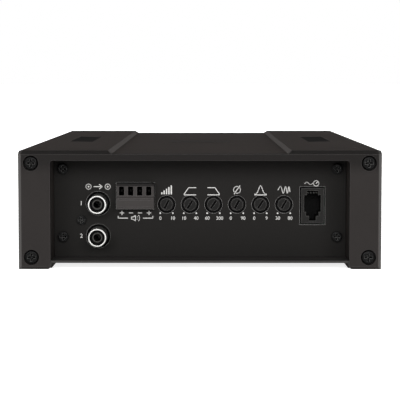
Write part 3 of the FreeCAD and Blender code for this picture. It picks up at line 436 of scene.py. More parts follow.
@dataclass(frozen=True)
class PortMoulding:
    """A socket moulding: a grey face with painted highlight on its edges, painted shade deeper in,
    and painted shade on a band along its top where one is set.
    """

    name: str
    node: str
    colour: Colour
    light_colour: Colour
    edge_highlight_colour: Colour
    recess_shade_colour: Colour = (0.002, 0.002, 0.002)
    face_depth: float = 0.0012
    darkening: float = 2500.0
    top_shade_height: float = 0.0
    top_shade_strength: float = 0.75
    roughness: float = 0.55
    gloss_spread: float = 0.16
    specular: float = 0.03
    grain: float = 3600.0
    grain_depth: float = 0.00002
    grain_share: float = 0.3
    clouds: float = 120.0
    strength: float = 0.3
    edge: float = 0.00015
    wear_and_highlight_reach: float = 0.0003
    wear_and_highlight_gain: float = 25.0

    def build(self) -> bpy.types.Material:
        """Make the material."""
        graph = Graph(self.name)
        low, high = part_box(self.node)
        grain = graph.cells(self.grain)
        cloud = graph.noise(self.clouds, detail=3.0)
        mottle = (cloud * (1.0 - self.grain_share) + grain * self.grain_share).clamped()
        face = graph.blend(mottle, self.colour, self.light_colour)
        # Painted highlight along the sharp edges.
        wear_and_highlight = graph.edge_wear_and_highlight(self.wear_and_highlight_reach, self.wear_and_highlight_gain)
        edge_lit = graph.blend(wear_and_highlight, face, self.edge_highlight_colour)
        # Painted shade: deeper in than the front face, the colour goes to near black.
        deep = ((graph.along("Y") - (low[1] + self.face_depth)) * self.darkening).clamped()
        # Painted shade on a band along the top.
        rim = (graph.along("Z") - (high[2] - self.top_shade_height)).above(0.0) * self.top_shade_strength
        return graph.surface({
            "Base Color": graph.blend((deep + rim).clamped(), edge_lit, self.recess_shade_colour),
            "Roughness": ((cloud - 0.5) * self.gloss_spread + self.roughness).clamped(),
            "Specular IOR Level": self.specular,
            "Normal": graph.bump(grain, self.grain_depth, self.strength, self.edge),
        })


@dataclass(frozen=True)
class Plating:
    """Bare or plated metal: fine turned or brushed lines, smudges and softened edges."""

    name: str
    colour: Colour
    dull_colour: Colour
    roughness: float = 0.2
    lines: tuple[float, float, float] = (900.0, 60.0, 900.0)
    line_depth: float = 0.00001
    line_gloss: float = 0.12
    strength: float = 0.25
    smudges: float = 420.0
    smudge_gloss: float = 0.2
    edge: float = 0.0001
    metallic: float = 1.0

    def build(self) -> bpy.types.Material:
        """Make the material."""
        graph = Graph(self.name)
        brushed = graph.noise(6.0, detail=2.0, roughness=0.6, place=graph.stretched(self.lines))
        smudge = graph.noise(self.smudges, detail=3.0, roughness=0.55)
        rough = ((smudge - 0.5) * self.smudge_gloss + (brushed - 0.5) * self.line_gloss
                 + self.roughness)
        return graph.surface({
            "Base Color": graph.blend(smudge.power(2.0), self.colour, self.dull_colour),
            "Metallic": self.metallic,
            "Roughness": rough.clamped(),
            "Normal": graph.bump(brushed, self.line_depth, self.strength, self.edge),
        })


@dataclass(frozen=True)
class Laminate:
    """A circuit board: lacquered glass laminate with a faint weave and copper tracks under it."""

    name: str = "green_board"
    colour: Colour = (0.003, 0.018, 0.009)
    track_colour: Colour = (0.008, 0.04, 0.02)
    roughness: float = 0.25
    tracks: float = 260.0
    track_level: float = 0.56
    track_share: float = 0.8
    weave: float = 500.0
    weave_gloss: float = 0.15
    depth: float = 0.00003
    strength: float = 0.4

    def build(self) -> bpy.types.Material:
        """Make the material."""
        graph = Graph(self.name)
        tracks = graph.noise(self.tracks, detail=1.0, roughness=0.3).above(self.track_level)
        weave = graph.noise(4.0, detail=1.0, place=graph.stretched((self.weave,) * 3))
        relief = tracks * self.track_share + weave * (1.0 - self.track_share)
        return graph.surface({
            "Base Color": graph.blend(tracks, self.colour, self.track_colour),
            "Roughness": (weave * self.weave_gloss + self.roughness).clamped(),
            "Normal": graph.bump(relief, self.depth, self.strength, 0.0),
        })


@dataclass(frozen=True)
class WoundWire:
    """Enamelled wire wound close: a striped bump across the turns and a warm, uneven enamel."""

    name: str = "enamelled_wire"
    colour: Colour = (0.32, 0.09, 0.03)
    light_colour: Colour = (0.6, 0.24, 0.09)
    turns: float = 160.0
    clouds: float = 90.0
    stripe_share: float = 0.5
    roughness: float = 0.22
    gloss_spread: float = 0.15
    metallic: float = 0.6
    depth: float = 0.0004
    strength: float = 0.6

    def build(self) -> bpy.types.Material:
        """Make the material."""
        graph = Graph(self.name)
        settings = {"wave_type": "BANDS", "bands_direction": "DIAGONAL"}
        turns = graph.node("ShaderNodeTexWave", settings, {
            "Vector": graph.place(), "Scale": self.turns, "Distortion": 0.6, "Detail": 1.0})
        stripe = Wire(graph, turns.outputs["Fac"])
        tint = graph.noise(self.clouds, detail=2.0)
        enamel = (tint * (1.0 - self.stripe_share) + stripe * self.stripe_share).clamped()
        return graph.surface({
            "Base Color": graph.blend(enamel, self.colour, self.light_colour),
            "Roughness": (tint * self.gloss_spread + self.roughness).clamped(),
            "Metallic": self.metallic,
            "Normal": graph.bump(stripe, self.depth, self.strength, 0.0),
        })


@dataclass(frozen=True)
class Ink:
    """Screen-printed ink: matt, a little thin and speckled at its edges."""

    name: str
    colour: Colour = (0.36, 0.355, 0.345)
    thin_colour: Colour = (0.25, 0.245, 0.235)
    speckles: float = 5200.0
    roughness: float = 0.45
    gloss_spread: float = 0.2
    depth: float = 0.00001
    strength: float = 0.3

    def build(self) -> bpy.types.Material:
        """Make the material."""
        graph = Graph(self.name)
        speckle = graph.noise(self.speckles, detail=2.0, roughness=0.6)
        return graph.surface({
            "Base Color": graph.blend(speckle, self.colour, self.thin_colour),
            "Roughness": (speckle * self.gloss_spread + self.roughness).clamped(),
            "Normal": graph.bump(speckle, self.depth, self.strength, 0.0),
        })


@dataclass(frozen=True)
class ClearMoulding:
    """A tinted see-through plastic, as on a fuse body or a small lamp."""

    name: str
    colour: Colour
    deep_colour: Colour
    transmission: float = 0.45
    roughness: float = 0.12
    gloss_spread: float = 0.12
    clouds: float = 300.0
    depth: float = 0.00002
    strength: float = 0.2
    edge: float = 0.0001

    def build(self) -> bpy.types.Material:
        """Make the material."""
        graph = Graph(self.name)
        cloud = graph.noise(self.clouds, detail=2.0)
        return graph.surface({
            "Base Color": graph.blend(cloud, self.colour, self.deep_colour),
            "Roughness": (cloud * self.gloss_spread + self.roughness).clamped(),
            "Transmission Weight": self.transmission,
            "IOR": CLEAR_INDEX,
            "Normal": graph.bump(cloud, self.depth, self.strength, self.edge),
        })


class Finish(Enum):
    """Every finish on the amplifier, with its colours and its gloss."""

    # The shell's sloping faces carry a painted highlight.
    SHELL = Coat("shell_powder", (0.0132, 0.0112, 0.0103), (0.0226, 0.0192, 0.0178), 0.85,
                 specular=0.03, wear_and_highlight_colour=(0.032, 0.0293, 0.028), slopes_highlit=True)
    # The bezel's outer side strips carry a painted highlight, and above 41 mm it is darker: painted
    # shade.
    BEZEL = Coat("bezel_powder", (0.0058, 0.005, 0.0047), (0.0172, 0.0148, 0.014), 0.7,
                 specular=0.07, wear_and_highlight_colour=(0.03, 0.0283, 0.0273), highlight_strip_node="front_bezel",
                 painted_shade_above=0.041)
    SHEET = Coat("sheet_paint", (0.012, 0.011, 0.0106), (0.02, 0.0184, 0.0178), 0.6,
                 specular=0.12)
    # The panel's lighter rings round its openings are partly worn edges, partly painted highlight.
    PANEL = Coat("panel_paint", (0.0045, 0.0042, 0.0039), (0.0085, 0.0079, 0.0074), 0.75,
                 specular=0.06, wear_and_highlight_colour=(0.15, 0.148, 0.144), calm_node="control_panel")
    # The screws' lighter edges are painted glints as well as worn edges.
    BLACK_SCREW = Coat("black_oxide", (0.0015, 0.0015, 0.0015), (0.0035, 0.0035, 0.0035), 0.22,
                       grain_depth=0.00001, edge=0.00025, specular=0.05,
                       wear_and_highlight_colour=(0.13, 0.128, 0.124), wear_and_highlight_reach=0.00013)
    BRIGHT_SCREW = Plating("zinc_plate", (0.75, 0.75, 0.73), (0.5, 0.5, 0.48), 0.25)
    INLAY = Moulding("inlay_moulding", (0.0035, 0.0033, 0.0032), (0.0065, 0.0062, 0.006), 0.88,
                     specular=0.02)
    BADGE = Coat("badge_coat", (0.0105, 0.0093, 0.0087), (0.0165, 0.0148, 0.014), 0.8,
                 specular=0.05, wear_and_highlight_colour=(0.024, 0.022, 0.021))
    BLACK_MOULDING = Moulding("black_moulding", (0.005, 0.005, 0.005), (0.01, 0.01, 0.01), 0.45,
                              specular=0.15)
    BUSH = Moulding("bush_moulding", (0.0012, 0.0012, 0.0012), (0.0024, 0.0024, 0.0024), 0.6,
                    specular=0.01)
    # The socket mouldings carry painted highlight on their edges and painted shade inside their
    # openings; the level socket also has painted shade along its top.
    SHAFT = PortMoulding("shaft_moulding", "pot_shaft_1", (0.0055, 0.0054, 0.0052),
                         (0.0085, 0.0083, 0.008), (0.06, 0.058, 0.056),
                         recess_shade_colour=(0.0008, 0.0008, 0.0008), face_depth=0.0004)
    JACK = PortMoulding("jack_moulding", "remote_jack", (0.007, 0.0068, 0.0065),
                        (0.012, 0.0116, 0.0112), (0.06, 0.058, 0.056))
    LEVEL = PortMoulding("level_moulding", "level_socket", (0.019, 0.0172, 0.0166),
                         (0.027, 0.0248, 0.024), (0.055, 0.051, 0.05), face_depth=0.0022,
                         top_shade_height=0.0011)
    NICKEL = Plating("nickel_plate", (0.5, 0.495, 0.48), (0.3, 0.295, 0.285), 0.3)
    # The pins are painted near black: painted shade in the socket's ways.
    PIN = Plating("pin_plate", (0.012, 0.0118, 0.0115), (0.008, 0.0078, 0.0075), 0.8)
    CONTACT = Plating("contact_plate", (0.035, 0.034, 0.032), (0.02, 0.019, 0.018), 0.45)
    TINNED = Plating("tin_plate", (0.72, 0.72, 0.7), (0.5, 0.5, 0.48), 0.3)
    BOARD = Laminate()
    FERRITE = Moulding("ferrite", (0.03, 0.03, 0.032), (0.06, 0.06, 0.063), 0.6)
    WIRE = WoundWire()
    CAN = Moulding("can_sleeve", (0.012, 0.012, 0.02), (0.024, 0.024, 0.036), 0.3)
    PAD = Moulding("silicone_pad", (0.3, 0.31, 0.31), (0.38, 0.39, 0.39), 0.65)
    FUSE = ClearMoulding("fuse_moulding", (0.75, 0.2, 0.02), (0.6, 0.12, 0.01))
    LENS = ClearMoulding("lens_moulding", (0.25, 0.4, 0.85), (0.12, 0.22, 0.7), 0.6)
    INK = Ink("panel_ink")


NODE_FINISHES: dict[Finish, tuple[str, ...]] = {
    Finish.SHELL: ("shell",),
    Finish.BEZEL: ("front_bezel", "rear_bezel"),
    Finish.SHEET: ("bottom_plate",),
    Finish.PANEL: ("control_panel", "rear_panel"),
    Finish.BLACK_SCREW: ("bezel_screws", "panel_screws", "bottom_screws", "rca_block_screw"),
    Finish.BRIGHT_SCREW: ("board_screws", "clamp_screws", "standoffs", "terminal_screw_"),
    Finish.INLAY: ("inlays",),
    Finish.BADGE: ("badge_plate",),
    Finish.BLACK_MOULDING: ("power_block", "speaker_block", "fuse_holder",
                            "board_link", "control_chips", "transistors"),
    Finish.BUSH: ("pot_body_", "rca_block", "rca_insulators"),
    Finish.SHAFT: ("pot_shaft_",),
    Finish.JACK: ("remote_jack",),
    Finish.LEVEL: ("level_socket",),
    Finish.NICKEL: ("rca_shells",),
    Finish.PIN: ("level_pins",),
    Finish.CONTACT: ("rca_contacts", "remote_contacts"),
    Finish.TINNED: ("contact_plates", "clamp_bars"),
    Finish.BOARD: ("main_board", "input_board"),
    Finish.FERRITE: ("transformer_core", "choke_core"),
    Finish.WIRE: ("transformer_winding", "choke_winding"),
    Finish.CAN: ("capacitors",),
    Finish.PAD: ("insulating_pads",),
    Finish.FUSE: ("fuse_",),
    Finish.LENS: ("power_light",),
}


@dataclass
class Workshop:
    """Builds each finish once and hands it out."""

    made: dict[Finish, bpy.types.Material] = field(default_factory=dict)

    def material(self, finish: Finish) -> bpy.types.Material:
        """The material of a finish, made the first time it is asked for."""
        if finish not in self.made:
            self.made[finish] = finish.value.build()
        return self.made[finish]

    def dress(self, piece: bpy.types.Object, finish: Finish) -> None:
        """Give a piece one finish all over."""
        piece.data.materials.clear()
        piece.data.materials.append(self.material(finish))

    @staticmethod
    def finish_of(node: str) -> Finish:
        """Find the finish of a node by its name, or by the name before its number.

        Args:
            node: The node's name.

        Returns:
            The finish that the table gives it.
        """
        stem = node.rstrip("0123456789")
        exact = [finish for finish, names in NODE_FINISHES.items() if node in names]
        by_stem = [finish for finish, names in NODE_FINISHES.items() if stem in names]
        return (exact + by_stem)[0]


@dataclass
class Construction:
    """The amplifier's construction, which comes ready made and only needs its finishes."""

    nodes: dict[str, bpy.types.Object]
    workshop: Workshop

    def dress(self) -> list[str]:
        """Put a finish on every node.

        Returns:
            The names of the nodes that were dressed.
        """
        for name, node in sorted(self.nodes.items()):
            self.workshop.dress(node, self.workshop.finish_of(name))
        return sorted(self.nodes)


@dataclass
class Printer:
    """Lays flat printed strokes, dots and numbers on an upright panel face."""

    name: str
    face: float
    outward: float
    workshop: Workshop
    thickness: float = 0.03 * MM
    width: float = 0.33 * MM
    overlap: float = 0.5
    dot_sides: int = 20
    figure_scale: float = 1.38
    figure_swell: float = 0.01
    mesh: bmesh.types.BMesh = field(default_factory=bmesh.new)

    def _spot(self, at: Point) -> Vector:
        """The point on the panel's face at a place given as x and z."""
        return Vector((at[0], self.face + self.outward * self.thickness / 2, at[1]))

    def stroke(self, start: Point, end: Point, width: float | None = None) -> None:
        """Print a straight line.

        Args:
            start: One end, as x and z.
            end: The other end.
            width: The line's width, or the printer's own.
        """
        first, last = self._spot(start), self._spot(end)
        run = last - first
        turn = Matrix.Rotation(-math.atan2(run.z, run.x), 4, "Y")
        size = Matrix.Diagonal((run.length + self.width * self.overlap, self.thickness,
                                width or self.width, 1.0))
        middle_of_run = Matrix.Translation((first + last) / 2)
        bmesh.ops.create_cube(self.mesh, size=1.0, matrix=middle_of_run @ turn @ size)

    def path(self, points: Sequence[Point]) -> None:
        """Print straight lines from each point to the next."""
        for start, end in zip(points, points[1:]):
            self.stroke(start, end)

    def sketch(self, points: Sketch, centre: Point, side: int = 1) -> None:
        """Print straight lines through a sketch's points.

        Args:
            points: The sketch, in millimetres from its middle.
            centre: Where its middle goes, as x and z.
            side: -1 turns it left to right.
        """
        self.path([(centre[0] + side * x * MM, centre[1] + z * MM) for x, z in points])

    def curve(self, height: Callable[[float], float], x_low: float, x_high: float,
              steps: int = 12) -> None:
        """Print the curve of a formula.

        Args:
            height: Gives z for a value of x.
            x_low: The left end.
            x_high: The right end.
            steps: How many straight lines stand for the curve.
        """
        places = [x_low + (x_high - x_low) * i / steps for i in range(steps + 1)]
        self.path([(x, height(x)) for x in places])

    def arc(self, centre: Point, radius: float, start: float = 0.0, end: float = 360.0,
            steps: int = 16) -> None:
        """Print part of a circle.

        Args:
            centre: The circle's middle.
            radius: Its radius.
            start: The first angle, in degrees from the right, anticlockwise.
            end: The last angle.
            steps: How many straight lines stand for the arc.
        """
        angles = [math.radians(start + (end - start) * i / steps) for i in range(steps + 1)]
        self.path([(centre[0] + radius * math.cos(angle), centre[1] + radius * math.sin(angle))
                   for angle in angles])

    def dot(self, centre: Point, radius: float) -> None:
        """Print a filled round dot."""
        turn = Matrix.Rotation(math.radians(90.0), 4, "X")
        bmesh.ops.create_cone(self.mesh, cap_ends=True, segments=self.dot_sides, radius1=radius,
                              radius2=radius, depth=self.thickness,
                              matrix=Matrix.Translation(self._spot(centre)) @ turn)

    def number(self, digits: str, centre: Point, height: float) -> None:
        """Print a plain number, centred on a point.

        Args:
            digits: The number, as it is written.
            centre: Its middle, as x and z.
            height: The height of its figures.
        """
        curve = bpy.data.curves.new(self.name + "_figures", "FONT")
        curve.body = digits
        curve.align_x = "CENTER"
        curve.align_y = "CENTER"
        curve.size = height * self.figure_scale
        curve.offset = height * self.figure_swell
        curve.extrude = self.thickness / 2
        figures = bpy.data.objects.new(self.name + "_figures", curve)
        shape = bpy.data.meshes.new_from_object(figures)
        upright = Matrix.Rotation(math.radians(90.0), 4, "X")
        facing = Matrix.Rotation(0.0 if self.outward < 0 else math.pi, 4, "Z")
        shape.transform(Matrix.Translation(self._spot(centre)) @ facing @ upright)
        self.mesh.from_mesh(shape)
        bpy.data.objects.remove(figures)
        bpy.data.curves.remove(curve)
        bpy.data.meshes.remove(shape)

    def plus(self, centre: Point, size: float) -> None:
        """Print a plus mark."""
        x, z = centre
        self.stroke((x - size / 2, z), (x + size / 2, z))
        self.stroke((x, z - size / 2), (x, z + size / 2))

    def minus(self, centre: Point, size: float) -> None:
        """Print a minus mark."""
        x, z = centre
        self.stroke((x - size / 2, z), (x + size / 2, z))

    def finish(self) -> bpy.types.Object:
        """Turn everything printed so far into one piece.

        Returns:
            The printed piece, riding on the chassis.
        """
        bmesh.ops.recalc_face_normals(self.mesh, faces=self.mesh.faces)
        shape = bpy.data.meshes.new(self.name)
        self.mesh.to_mesh(shape)
        self.mesh.free()
        piece = bpy.data.objects.new(self.name, shape)
        bpy.context.scene.collection.objects.link(piece)
        self.workshop.dress(piece, Finish.INK)
        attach(piece, CHASSIS)
        LOG.info("printed %s: %d faces", self.name, len(shape.polygons))
        return piece


def middle(node: str) -> Vector:
    """The middle of a node's box."""
    low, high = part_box(node)
    return (Vector(low) + Vector(high)) / 2


@dataclass
class ControlMarks:
    """The generic marks on the control panel: pictures, plain numbers, signs and travel dots."""

    workshop: Workshop
    face: float
    icon_rise: float = 6.4 * MM
    icon_width: float = 5.2 * MM
    icon_height: float = 3.8 * MM
    bars: int = 5
    bar_weight: float = 0.55 * MM
    base_drop: float = 0.3 * MM
    ring_share: float = 0.4
    slash_reach: float = 1.2
    slash_lean: float = 0.7
    bell_spread: float = 0.42
    wave_share: float = 0.4
    wave_growth: float = 1.6
    wave_steps: int = 26
    number_drop: float = 6.1 * MM
    number_spread: float = 2.7 * MM
    number_height: float = 1.5 * MM
    dot_reach: float = 4.75 * MM
    dot_angle: float = 35.6
    dot_radius: float = 0.36 * MM
    ranges: tuple[tuple[str, str], ...] = (
        ("0", "10"), ("10", "40"), ("60", "200"), ("0", "90"), ("0", "9"), ("30", "80"))
    plug_rise: float = 3.2 * MM
    plug_spread: float = 4.2 * MM
    plug_radius: float = 1.15 * MM
    plug_pin: float = 0.4 * MM
    arrow_shaft: Sketch = ((-1.9, 0.0), (1.6, 0.0))
    arrow_head: Sketch = ((0.5, 1.0), (1.8, 0.0), (0.5, -1.0))
    input_number_gap: float = 3.3 * MM
    input_number_height: float = 1.9 * MM
    sign_drop: float = 2.0 * MM
    sign_inset: float = 0.3 * MM
    sign_size: float = 1.7 * MM
    speaker_drop: float = 2.3 * MM
    speaker: Sketch = ((-1.8, -0.5), (-1.8, 0.5), (-1.0, 0.5), (0.0, 1.2), (0.0, -1.2),
                       (-1.0, -0.5), (-1.8, -0.5))
    speaker_waves: tuple[float, float] = (1.0 * MM, 1.8 * MM)
    speaker_angle: float = 42.0
    bracket: Sketch = ((3.4, 0.0), (7.6, 0.0), (7.6, 0.9))
    dial_rise: float = 2.1 * MM
    dial_shift: float = 1.6 * MM
    dial_radius: float = 1.2 * MM
    dial_hand: Sketch = ((1.6, 0.0), (2.3, 0.75))
    lead_height: float = 0.5 * MM
    lead_turns: float = 1.9
    lead_ends: tuple[float, float] = (-3.4 * MM, 0.4 * MM)

    def _printer(self, name: str) -> Printer:
        """A printer for one named set of marks on this panel."""
        return Printer(name, self.face, -1.0, self.workshop)

    def _base_line(self, printer: Printer, x: float, z: float) -> None:
        """The line under a curve."""
        level = z - self.icon_height / 2 - self.base_drop
        printer.stroke((x - self.icon_width / 2, level), (x + self.icon_width / 2, level))

    def level_bars(self, printer: Printer, x: float, z: float) -> None:
        """Bars that grow to the right, for the input level."""
        foot = z - self.icon_height / 2
        for i in range(self.bars):
            place = x + (i - self.bars // 2) * self.icon_width / self.bars
            top = foot + self.icon_height * (i + 1) / self.bars
            printer.stroke((place, foot), (place, top), self.bar_weight)

    def low_cut(self, printer: Printer, x: float, z: float) -> None:
        """A response curve that rises from the left and stays level."""
        half, foot, top = self.icon_width / 2, z - self.icon_height / 2, z + self.icon_height / 4
        printer.path([(x - half, foot), (x - self.icon_width / 8, top), (x + half, top)])
        self._base_line(printer, x, z)

    def high_cut(self, printer: Printer, x: float, z: float) -> None:
        """A response curve that starts level and falls to the right."""
        half, foot, top = self.icon_width / 2, z - self.icon_height / 2, z + self.icon_height / 4
        printer.path([(x - half, top), (x + self.icon_width / 8, top), (x + half, foot)])
        self._base_line(printer, x, z)

    def crossed_ring(self, printer: Printer, x: float, z: float) -> None:
        """A ring with a slanting line through it, for the phase."""
        radius = self.icon_height * self.ring_share
        printer.arc((x, z), radius)
        reach = radius * self.slash_reach
        lean = reach * self.slash_lean
        printer.stroke((x - lean, z - reach), (x + lean, z + reach))

    def bell(self, printer: Printer, x: float, z: float) -> None:
        """A bell curve over a base line, for the lift of the lowest notes."""
        half, foot = self.icon_width / 2, z - self.icon_height / 2

        def height(at: float) -> float:
            """The bell's height at a place along it."""
            return foot + self.icon_height * math.exp(-((at - x) / (half * self.bell_spread)) ** 2)

        printer.curve(height, x - half, x + half)
        self._base_line(printer, x, z)

    def wave(self, printer: Printer, x: float, z: float) -> None:
        """A wave that grows closer to the right, for the frequency."""
        half = self.icon_width / 2

        def height(at: float) -> float:
            """The wave's height at a place along it."""
            share = (at - x + half) / (2 * half)
            turns = share + self.wave_growth * share * share
            return z + self.icon_height * self.wave_share * math.sin(2 * math.pi * turns)

        printer.curve(height, x - half, x + half, self.wave_steps)

    def adjusters(self) -> None:
        """Print the picture, the two numbers and the two travel dots of each adjuster."""
        pictures = (self.level_bars, self.low_cut, self.high_cut, self.crossed_ring, self.bell,
                    self.wave)
        icons = self._printer("adjuster_pictures")
        numbers = self._printer("adjuster_numbers")
        dots = self._printer("travel_dots")
        angle = math.radians(self.dot_angle)
        aside, below = self.dot_reach * math.sin(angle), self.dot_reach * math.cos(angle)
        for i, (picture, ends) in enumerate(zip(pictures, self.ranges), 1):
            centre = middle(f"pot_shaft_{i}")
            picture(icons, centre.x, centre.z + self.icon_rise)
            for side, digits in zip((-1, 1), ends):
                place = (centre.x + side * self.number_spread, centre.z - self.number_drop)
                numbers.number(digits, place, self.number_height)
                dots.dot((centre.x + side * aside, centre.z - below), self.dot_radius)
        for printer in (icons, numbers, dots):
            printer.finish()

    def line_inputs(self) -> None:
        """Print a plug and socket above the line inputs, and a number beside each."""
        low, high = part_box("rca_shells")
        x, radius = (low[0] + high[0]) / 2, (high[0] - low[0]) / 2
        level = high[2] + self.plug_rise
        printer = self._printer("line_input_marks")
        for side in (-1, 1):
            plug = (x + side * self.plug_spread, level)
            printer.arc(plug, self.plug_radius)
            printer.dot(plug, self.plug_pin)
        printer.sketch(self.arrow_shaft, (x, level))
        printer.sketch(self.arrow_head, (x, level))
        for digits, z in (("1", high[2] - radius), ("2", low[2] + radius)):
            place = (x - radius - self.input_number_gap, z)
            printer.number(digits, place, self.input_number_height)
        printer.finish()

    def level_input(self) -> None:
        """Print the signs under the high level socket's ways, and a loudspeaker below them."""
        low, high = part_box("level_socket")
        pins_low, pins_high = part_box("level_pins")
        printer = self._printer("level_input_marks")
        signs = (printer.plus, printer.minus, printer.minus, printer.plus)
        level = low[2] - self.sign_drop
        first, last = pins_low[0] + self.sign_inset, pins_high[0] - self.sign_inset
        for i, sign in enumerate(signs):
            sign((first + (last - first) * i / (len(signs) - 1), level), self.sign_size)
        centre = ((low[0] + high[0]) / 2, level - self.speaker_drop)
        printer.sketch(self.speaker, centre)
        for radius in self.speaker_waves:
            printer.arc(centre, radius, -self.speaker_angle, self.speaker_angle, 8)
        for side in (-1, 1):
            printer.sketch(self.bracket, centre, side)
        printer.finish()

    def remote(self) -> None:
        """Print a little dial on a lead above the remote jack."""
        low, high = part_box("remote_jack")
        x, z = (low[0] + high[0]) / 2, high[2] + self.dial_rise
        printer = self._printer("remote_marks")
        printer.arc((x + self.dial_shift, z), self.dial_radius)
        printer.sketch(self.dial_hand, (x, z))

        def height(at: float) -> float:
            """The lead's height at a place along it."""
            return z + self.lead_height * math.sin((at - x) / MM * self.lead_turns)

        printer.curve(height, x + self.lead_ends[0], x + self.lead_ends[1], 14)
        printer.finish()

    def build(self) -> None:
        """Print every mark on the control panel."""
        self.adjusters()
        self.line_inputs()
        self.level_input()
        self.remote()


@dataclass
class RearMarks:
    """The generic signs on the rear panel, above the terminals and the fuses."""

    workshop: Workshop
    face: float
    size: float = 2.6 * MM
    weight: float = 0.45 * MM
    rise: float = 3.4 * MM
    ring_share: float = 0.42
    ring_start: float = 110.0
    ring_end: float = 430.0
    stem_share: float = 0.6
    earth_bars: tuple[float, ...] = (1.0, 0.62, 0.26)
    earth_pitch: float = 0.24
    fuse_rise: float = 3.0 * MM
    fuse_body: Sketch = ((-3.0, -1.0), (3.0, -1.0), (3.0, 1.0), (-3.0, 1.0), (-3.0, -1.0))
    fuse_wire: Sketch = ((-4.6, 0.0), (4.6, 0.0))

    def build(self) -> None:
        """Print a sign above each clamp screw and a fuse sign above the holder."""
        printer = Printer("rear_marks", self.face, 1.0, self.workshop, width=self.weight)
        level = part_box("power_block")[1][2] + self.rise
        earth, switch, supply, minus, plus = [
            (middle(f"terminal_screw_{i}").x, level) for i in range(1, 6)]
        self.earth(printer, *earth)
        printer.arc(switch, self.size * self.ring_share, self.ring_start, self.ring_end)
        printer.stroke(switch, (switch[0], level + self.size * self.stem_share))
        for place in (supply, plus):
            printer.plus(place, self.size)
        printer.minus(minus, self.size)
        low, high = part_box("fuse_holder")
        holder = ((low[0] + high[0]) / 2, high[2] + self.fuse_rise)
        printer.sketch(self.fuse_body, holder)
        printer.sketch(self.fuse_wire, holder)
        printer.finish()

    def earth(self, printer: Printer, x: float, z: float) -> None:
        """The sign for a connection to the vehicle's body."""
        printer.stroke((x, z + self.size * 0.5), (x, z))
        for i, share in enumerate(self.earth_bars):
            level = z - i * self.size * self.earth_pitch
            printer.stroke((x - self.size * share / 2, level), (x + self.size * share / 2, level))


@dataclass(frozen=True)
class Lamp:
    """A far, wide and so soft light.

    The azimuth is counted in degrees from the control end towards +X, the elevation in degrees
    above the floor, the width is how wide it looks in degrees, and the strength is its irradiance.
    """

    name: str
    azimuth: float
    elevation: float
    width: float
    strength: float

    def hang(self) -> None:
        """Put the lamp in the studio, looking at the object."""
        light = bpy.data.lights.new(self.name, "SUN")
        light.angle = math.radians(self.width)
        light.energy = self.strength
        lamp = bpy.data.objects.new(self.name, light)
        turn, rise = math.radians(self.azimuth), math.radians(self.elevation)
        place = Vector((math.sin(turn) * math.cos(rise), -math.cos(turn) * math.cos(rise),
                        math.sin(rise)))
        facing = place.to_track_quat("Z", "Y").to_matrix().to_4x4()
        lamp.matrix_world = Matrix.Translation(place) @ facing
        bpy.context.scene.collection.objects.link(lamp)


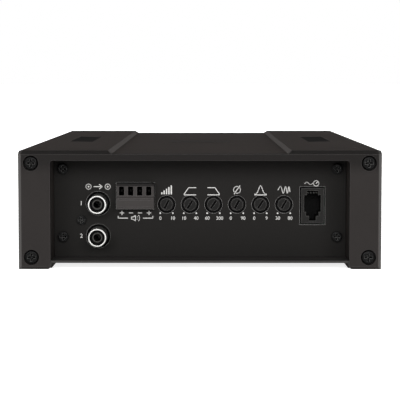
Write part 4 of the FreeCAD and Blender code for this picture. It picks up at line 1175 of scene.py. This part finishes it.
@dataclass
class Studio:
    """A pale floor and surround, soft lights all round and the camera."""

    floor_size: float = 60.0
    camera_right: float = 1.9 * MM
    camera_height: float = 80.7 * MM
    camera_reach: float = 639.0 * MM
    pitch: float = 4.535
    yaw: float = 0.165
    lens: float = 134.72
    sensor: float = 36.0
    nearest: float = 0.01
    farthest: float = 200.0
    sky: float = 0.09
    floor_colour: Colour = (0.6, 0.6, 0.6)
    floor_light_colour: Colour = (0.62, 0.62, 0.62)
    floor_glow: float = 0.8
    lamps: tuple[Lamp, ...] = (
        Lamp("top_light", 0.0, 84.0, 60.0, 0.4),
        Lamp("front_light", 0.0, 20.0, 26.0, 2.1),
        Lamp("front_light_-1", -28.0, 20.0, 26.0, 1.9),
        Lamp("side_light_-1", -105.0, 14.0, 40.0, 4.6),
        Lamp("front_light_1", 28.0, 20.0, 26.0, 1.9),
        Lamp("side_light_1", 105.0, 14.0, 40.0, 4.6),
    )

    def floor(self) -> None:
        """A wide, plain, pale floor."""
        mesh = bmesh.new()
        bmesh.ops.create_grid(mesh, x_segments=1, y_segments=1, size=self.floor_size / 2)
        shape = bpy.data.meshes.new("studio_floor")
        mesh.to_mesh(shape)
        mesh.free()
        floor = bpy.data.objects.new("studio_floor", shape)
        bpy.context.scene.collection.objects.link(floor)
        graph = Graph("studio_white")
        tone = graph.noise(3.0, detail=2.0)
        shape.materials.append(graph.surface({
            "Base Color": graph.blend(tone, self.floor_colour, self.floor_light_colour),
            "Roughness": 0.9,
            "Emission Color": (1.0, 1.0, 1.0, 1.0),
            "Emission Strength": self.floor_glow,
        }))
        floor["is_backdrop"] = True

    def world(self) -> None:
        """An even surround: white to look at, and dim as a source of light."""
        world = bpy.data.worlds.new("studio_surround")
        world.use_nodes = True
        tree = world.node_tree
        background = tree.nodes["Background"]
        background.inputs["Color"].default_value = (1.0, 1.0, 1.0, 1.0)
        seen = tree.nodes.new("ShaderNodeLightPath")
        strength = tree.nodes.new("ShaderNodeMapRange")
        strength.inputs["To Min"].default_value = self.sky
        strength.inputs["To Max"].default_value = 1.0
        tree.links.new(seen.outputs["Is Camera Ray"], strength.inputs["Value"])
        tree.links.new(strength.outputs["Result"], background.inputs["Strength"])
        bpy.context.scene.world = world

    def camera(self) -> None:
        """A long lens, a little above the object and square to its control end."""
        lens = bpy.data.cameras.new("camera")
        lens.lens = self.lens
        lens.sensor_width = self.sensor
        lens.clip_start = self.nearest
        lens.clip_end = self.farthest
        camera = bpy.data.objects.new("camera", lens)
        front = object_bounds()[0][1]
        place = Vector((self.camera_right, front - self.camera_reach, self.camera_height))
        turn = (Matrix.Rotation(math.radians(self.yaw), 4, "Z")
                @ Matrix.Rotation(math.radians(90.0 - self.pitch), 4, "X"))
        camera.matrix_world = Matrix.Translation(place) @ turn
        bpy.context.scene.collection.objects.link(camera)
        bpy.context.scene.camera = camera

    def build(self) -> None:
        """Set up the whole studio."""
        self.floor()
        self.world()
        for lamp in self.lamps:
            lamp.hang()
        self.camera()
        bpy.context.scene.view_settings.view_transform = "Standard"


def main() -> None:
    """Build the amplifier's looks in order, reporting each part."""
    logging.basicConfig(level=logging.INFO, format="%(name)s: %(message)s")
    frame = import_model()
    workshop = Workshop()
    for name in Construction(frame["nodes"], workshop).dress():
        LOG.info("dressed %s", name)
    ControlMarks(workshop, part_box("control_panel")[0][1]).build()
    RearMarks(workshop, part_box("rear_panel")[1][1]).build()
    Studio().build()
    LOG.info("studio is set")


if __name__ == "__main__":
    main()
